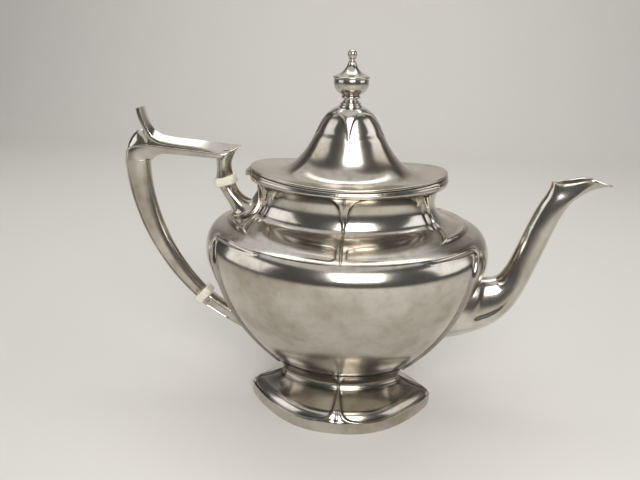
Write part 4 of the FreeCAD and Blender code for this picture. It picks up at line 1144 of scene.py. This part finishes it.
class TEAPOT_OT_sockets(bpy.types.Operator):
    """The elbow and the leaf that carry the handle on the body"""

    bl_idname = "teapot.sockets"
    bl_label = "Sockets"

    def execute(self, context):
        add_piece(self.elbow(lengths(context)), "upper_socket")
        add_piece(self.leaf(), "lower_socket")
        return {"FINISHED"}

    def elbow(self, sizes):
        """A stub that opens like a trumpet over shoulder and neck, with a beaded, drop-shaped foot."""
        count, tilt, bead_radius = 80, math.radians(15), 0.75
        seat = np.array((-69.75, 0.0, 138.9))
        turns = np.linspace(0, TURN, count, endpoint=False)
        long, wide = rounded_ring(count, 1.55)
        level = np.array((math.cos(tilt), 0.0, math.sin(tilt)))
        down = np.array((math.sin(tilt), 0.0, -math.cos(tilt)))
        near = np.array((0.0, -1.0, 0.0))
        long_half, wide_half = 5.2, 4.8
        start = seat + long_half * long[:, None] * level + wide_half * wide[:, None] * near
        # The stub's front and back corners run down to the wide, low end of the foot.
        around = turns + 0.5 * np.sin(turns)
        middle, reach, half_width, lift, widened = 22.8, 14.6, 10.5, 0.5, 1.06
        run = middle + reach * np.cos(around)
        beside = half_width * np.sin(around) * (1 - 0.4 * np.cos(around))
        end = self.on_body(sizes, beside, run, lift)
        wider = self.on_body(sizes, beside * widened, middle + (run - middle) * widened, lift)
        outward = (wider - end) / np.linalg.norm(wider - end, axis=1)[:, None]
        # The upper side bends furthest: down from the seat, and up again along the neck.
        strength = (13 + 24 * np.maximum(np.cos(turns), 0) ** 2)[:, None]
        rows = []
        for t in np.linspace(0, 1, 30):
            rows.append((2 * t ** 3 - 3 * t * t + 1) * start + (t ** 3 - 2 * t * t + t) * strength * down
                        + (3 * t * t - 2 * t ** 3) * end + (t ** 3 - t * t) * strength * outward)
        rows.append(self.on_body(sizes, beside * 1.02, run, -0.6))
        return joined("upper_elbow", [skin("trumpet", rows), wire(end, bead_radius)])

    def on_body(self, sizes, beside, run, lift):
        """Points over the handle end of the shoulder and neck, by their way up and to the near side."""
        _, line = body_line(sizes)
        raised = line + lift * side_normals(line)
        half, height = (np.interp(run, travelled(line), column) for column in raised.T)
        x, y = oval(sizes, math.pi + beside / (half - sizes.oval_centre), half)
        return np.stack([x, y, height], axis=-1)

    def leaf(self):
        """A flat-sided leaf down on to the bowl, with a sunk face inside a rounded border."""
        upper, lower, widths = flowing_pair((
            (-80.9, 69.2, -87.4, 62.6, 4.4), (-76.0, 65.3, -82.0, 59.2, 4.6),
            (-70.0, 61.8, -73.0, 53.6, 5.0), (-62.0, 58.5, -63.0, 48.0, 5.3),
            (-54.0, 57.0, -52.0, 42.5, 5.3),
        ), 12)
        ring = rounded_ring(120, 2.8)
        rows = lofted(upper, lower, widths, ring)
        along = np.linspace(0, 1, len(upper))[:, None]
        face = rounded_inside(0.62 - np.abs(ring[0]), np.minimum(along - 0.05, 0.56 - along) * 4, 0.3)
        rows[..., 1] *= 1 - 0.16 * soft_step(face, 0.16)
        return skin("lower_leaf", rows)


class TEAPOT_OT_heat_breaks(bpy.types.Operator):
    """The two bone heat breaks in the handle"""

    bl_idname = "teapot.heat_breaks"
    bl_label = "Heat breaks"

    def execute(self, context):
        # The lower block stands out a little over the grip's flat back, half its thickness beyond the end.
        bend, beyond = GRIP_BEND + 0.8, 2.5
        cosine, sine = math.cos(GRIP_SWEEP), math.sin(GRIP_SWEEP)
        lower = (GRIP_MIDDLE[0] - bend * cosine + beyond * sine,
                 GRIP_MIDDLE[1] - bend * sine - beyond * cosine)
        self.block("upper_heat_break", (-70.4, 141.2), math.radians(15), "upper_insulator")
        self.block("lower_heat_break", lower, GRIP_SWEEP, "lower_insulator")
        return {"FINISHED"}

    def block(self, name, middle, tilt, node):
        """A rounded block across the handle, with softly turned edges."""
        long_half, wide_half, thick, soft = 6.3, 5.8, 5.0, 0.9
        long, wide = rounded_ring(64, 3.4)
        levels = [(soft * (1 - math.cos(turn)), -thick / 2 + soft + soft * math.sin(turn))
                  for turn in np.radians((-90, -60, -30, 0))]
        levels += [(inset, -up) for inset, up in levels[::-1]]
        rings = []
        for inset, up in levels:
            along = long * (long_half - inset)
            x = middle[0] + along * math.cos(tilt) - up * math.sin(tilt)
            z = middle[1] + along * math.sin(tilt) + up * math.cos(tilt)
            rings.append(np.stack([x, wide * (wide_half - inset), z], axis=1))
        add_piece(skin(name, rings), node, slot="bone")


class TEAPOT_OT_fittings(bpy.types.Operator):
    """Finishes for the hinge, pins, strainer, bezel, stud and nut, which keep the frame's own shapes"""

    bl_idname = "teapot.fittings"
    bl_label = "Fittings"

    def execute(self, context):
        slots = {part["node"]: part["material_slot"] for part in frame["record"]["subparts"]}
        for name in ("lid_bezel", "lid_hinge_leaf", "body_hinge_leaf", "hinge_pin", "finial_stud",
                     "finial_nut", "spout_strainer", "upper_insulator_pins", "lower_insulator_pins"):
            materials = frame["nodes"][name].data.materials
            materials.clear()
            materials.append(finish_of(slots[name]))
        return {"FINISHED"}


# Stage

class TEAPOT_OT_stage(bpy.types.Operator):
    """The pale sweep, the studio lamps and the camera at the photograph's angle"""

    bl_idname = "teapot.stage"
    bl_label = "Stage"

    def execute(self, context):
        self.sweep(context)
        self.lamps(context)
        self.camera(context)
        context.scene.view_settings.view_transform = "Standard"
        return {"FINISHED"}

    def sweep(self, context):
        """One sheet of paper: floor, a round bend and the wall behind."""
        side, front, back, bend, wall = 2.5, -2.5, 0.75, 0.35, 1.6
        line = [(front, 0.0), (back, 0.0)]
        for turn in np.linspace(0, math.pi / 2, 17)[1:]:
            line.append((back + bend * math.sin(turn), bend * (1 - math.cos(turn))))
        line.append((back + bend, wall))
        points = [(x, y, z) for y, z in line for x in (-side, side)]
        faces = [(2 * at, 2 * at + 1, 2 * at + 3, 2 * at + 2) for at in range(len(line) - 1)]
        mesh = bpy.data.meshes.new("paper_sweep")
        mesh.from_pydata(points, [], faces)
        mesh.shade_smooth()
        material, nodes = new_material("Matt paper")
        # Paper fibre about 3 mm across.
        matt = nodes.spread(nodes.noise(3, 2.0), 0.0, 1.0, 0.82, 0.9)
        nodes.surface({"Base Color": colours(context).floor, "Roughness": matt})
        mesh.materials.append(material)
        paper = bpy.data.objects.new("paper_sweep", mesh)
        context.scene.collection.objects.link(paper)

    def lamps(self, context):
        """A key lamp by the camera, a broad one overhead, two at the sides and one on the wall."""
        pot, wall = Vector((0, 0, 0.09)), Vector((0, 1.1, 0.4))
        for name, place, size, power, target in (
            ("key_lamp", (0.10, -0.60, 0.50), 0.36, 3.8, pot),
            ("top_lamp", (-0.1, 0.1, 1.25), 1.7, 6.0, pot),
            ("left_lamp", (-1.0, -0.35, 0.5), 0.7, 2.0, pot),
            ("right_lamp", (1.0, -0.15, 0.55), 0.7, 2.0, pot),
            ("wall_lamp", (0.0, 0.25, 1.0), 0.8, 4.6, wall),
        ):
            lamp = bpy.data.lights.new(name, "AREA")
            lamp.size = size
            lamp.energy = power
            holder = bpy.data.objects.new(name, lamp)
            holder.location = place
            holder.rotation_euler = (target - Vector(place)).to_track_quat("-Z", "Y").to_euler()
            context.scene.collection.objects.link(holder)
        world = bpy.data.worlds.new("dim_room")
        context.scene.world = world
        world.use_nodes = True
        world.node_tree.nodes["Background"].inputs["Color"].default_value = (0.1, 0.1, 0.1, 1.0)

    def camera(self, context):
        """The photograph's view: its heading, pitch and roll, and its lens for a frame of 640 by 480."""
        heading, pitch, roll = (math.radians(angle) for angle in (-4.89, 19.99, 1.27))
        frame_width, focal_pixels = 640, 598.19
        forward = math.cos(pitch)
        ahead = Vector((math.sin(heading) * forward, math.cos(heading) * forward, -math.sin(pitch)))
        level = Vector((math.cos(heading), -math.sin(heading), 0))
        upright = level.cross(ahead)
        right = level * math.cos(roll) + upright * math.sin(roll)
        up = upright * math.cos(roll) - level * math.sin(roll)
        eye = bpy.data.cameras.new("photo_view")
        eye.sensor_width = 36.0
        eye.lens = eye.sensor_width * focal_pixels / frame_width
        eye.clip_start = 0.01
        holder = bpy.data.objects.new("photo_view", eye)
        turned = Matrix((right, up, -ahead)).transposed().to_4x4()
        turned.translation = (13.18 * MM, -329.99 * MM, 227.78 * MM)
        holder.matrix_world = turned
        context.scene.collection.objects.link(holder)
        context.scene.camera = holder


OPERATORS = (
    TEAPOT_OT_foot, TEAPOT_OT_body, TEAPOT_OT_lid, TEAPOT_OT_knob, TEAPOT_OT_spout, TEAPOT_OT_handle,
    TEAPOT_OT_sockets, TEAPOT_OT_heat_breaks, TEAPOT_OT_fittings, TEAPOT_OT_stage,
)


class TEAPOT_PT_panel(bpy.types.Panel):
    """The teapot's pieces, sizes and colours"""

    bl_idname = "TEAPOT_PT_panel"
    bl_label = "Teapot"
    bl_space_type = "VIEW_3D"
    bl_region_type = "UI"
    bl_category = "Teapot"

    def draw(self, context):
        for operator in OPERATORS:
            self.layout.operator(operator.bl_idname)
        for group in (context.scene.teapot_body, context.scene.teapot_lid, context.scene.teapot_finish):
            box = self.layout.box()
            for name in names_in(group):
                box.prop(group, name)


CLASSES = (TeapotBodySizes, TeapotLidSizes, TeapotFinish, *OPERATORS, TEAPOT_PT_panel)


def register():
    """Adds the sizes, the operators and the panel."""
    for item in CLASSES:
        bpy.utils.register_class(item)
    bpy.types.Scene.teapot_body = PointerProperty(type=TeapotBodySizes)
    bpy.types.Scene.teapot_lid = PointerProperty(type=TeapotLidSizes)
    bpy.types.Scene.teapot_finish = PointerProperty(type=TeapotFinish)


def unregister():
    """Takes them out again."""
    del bpy.types.Scene.teapot_finish
    del bpy.types.Scene.teapot_lid
    del bpy.types.Scene.teapot_body
    for item in reversed(CLASSES):
        bpy.utils.unregister_class(item)


def main():
    """Builds the teapot and its stage."""
    register()
    bpy.ops.teapot.foot()
    bpy.ops.teapot.body()
    bpy.ops.teapot.lid()
    bpy.ops.teapot.knob()
    bpy.ops.teapot.spout()
    bpy.ops.teapot.handle()
    bpy.ops.teapot.sockets()
    bpy.ops.teapot.heat_breaks()
    bpy.ops.teapot.fittings()
    bpy.ops.teapot.stage()


if __name__ == "__main__":
    main()
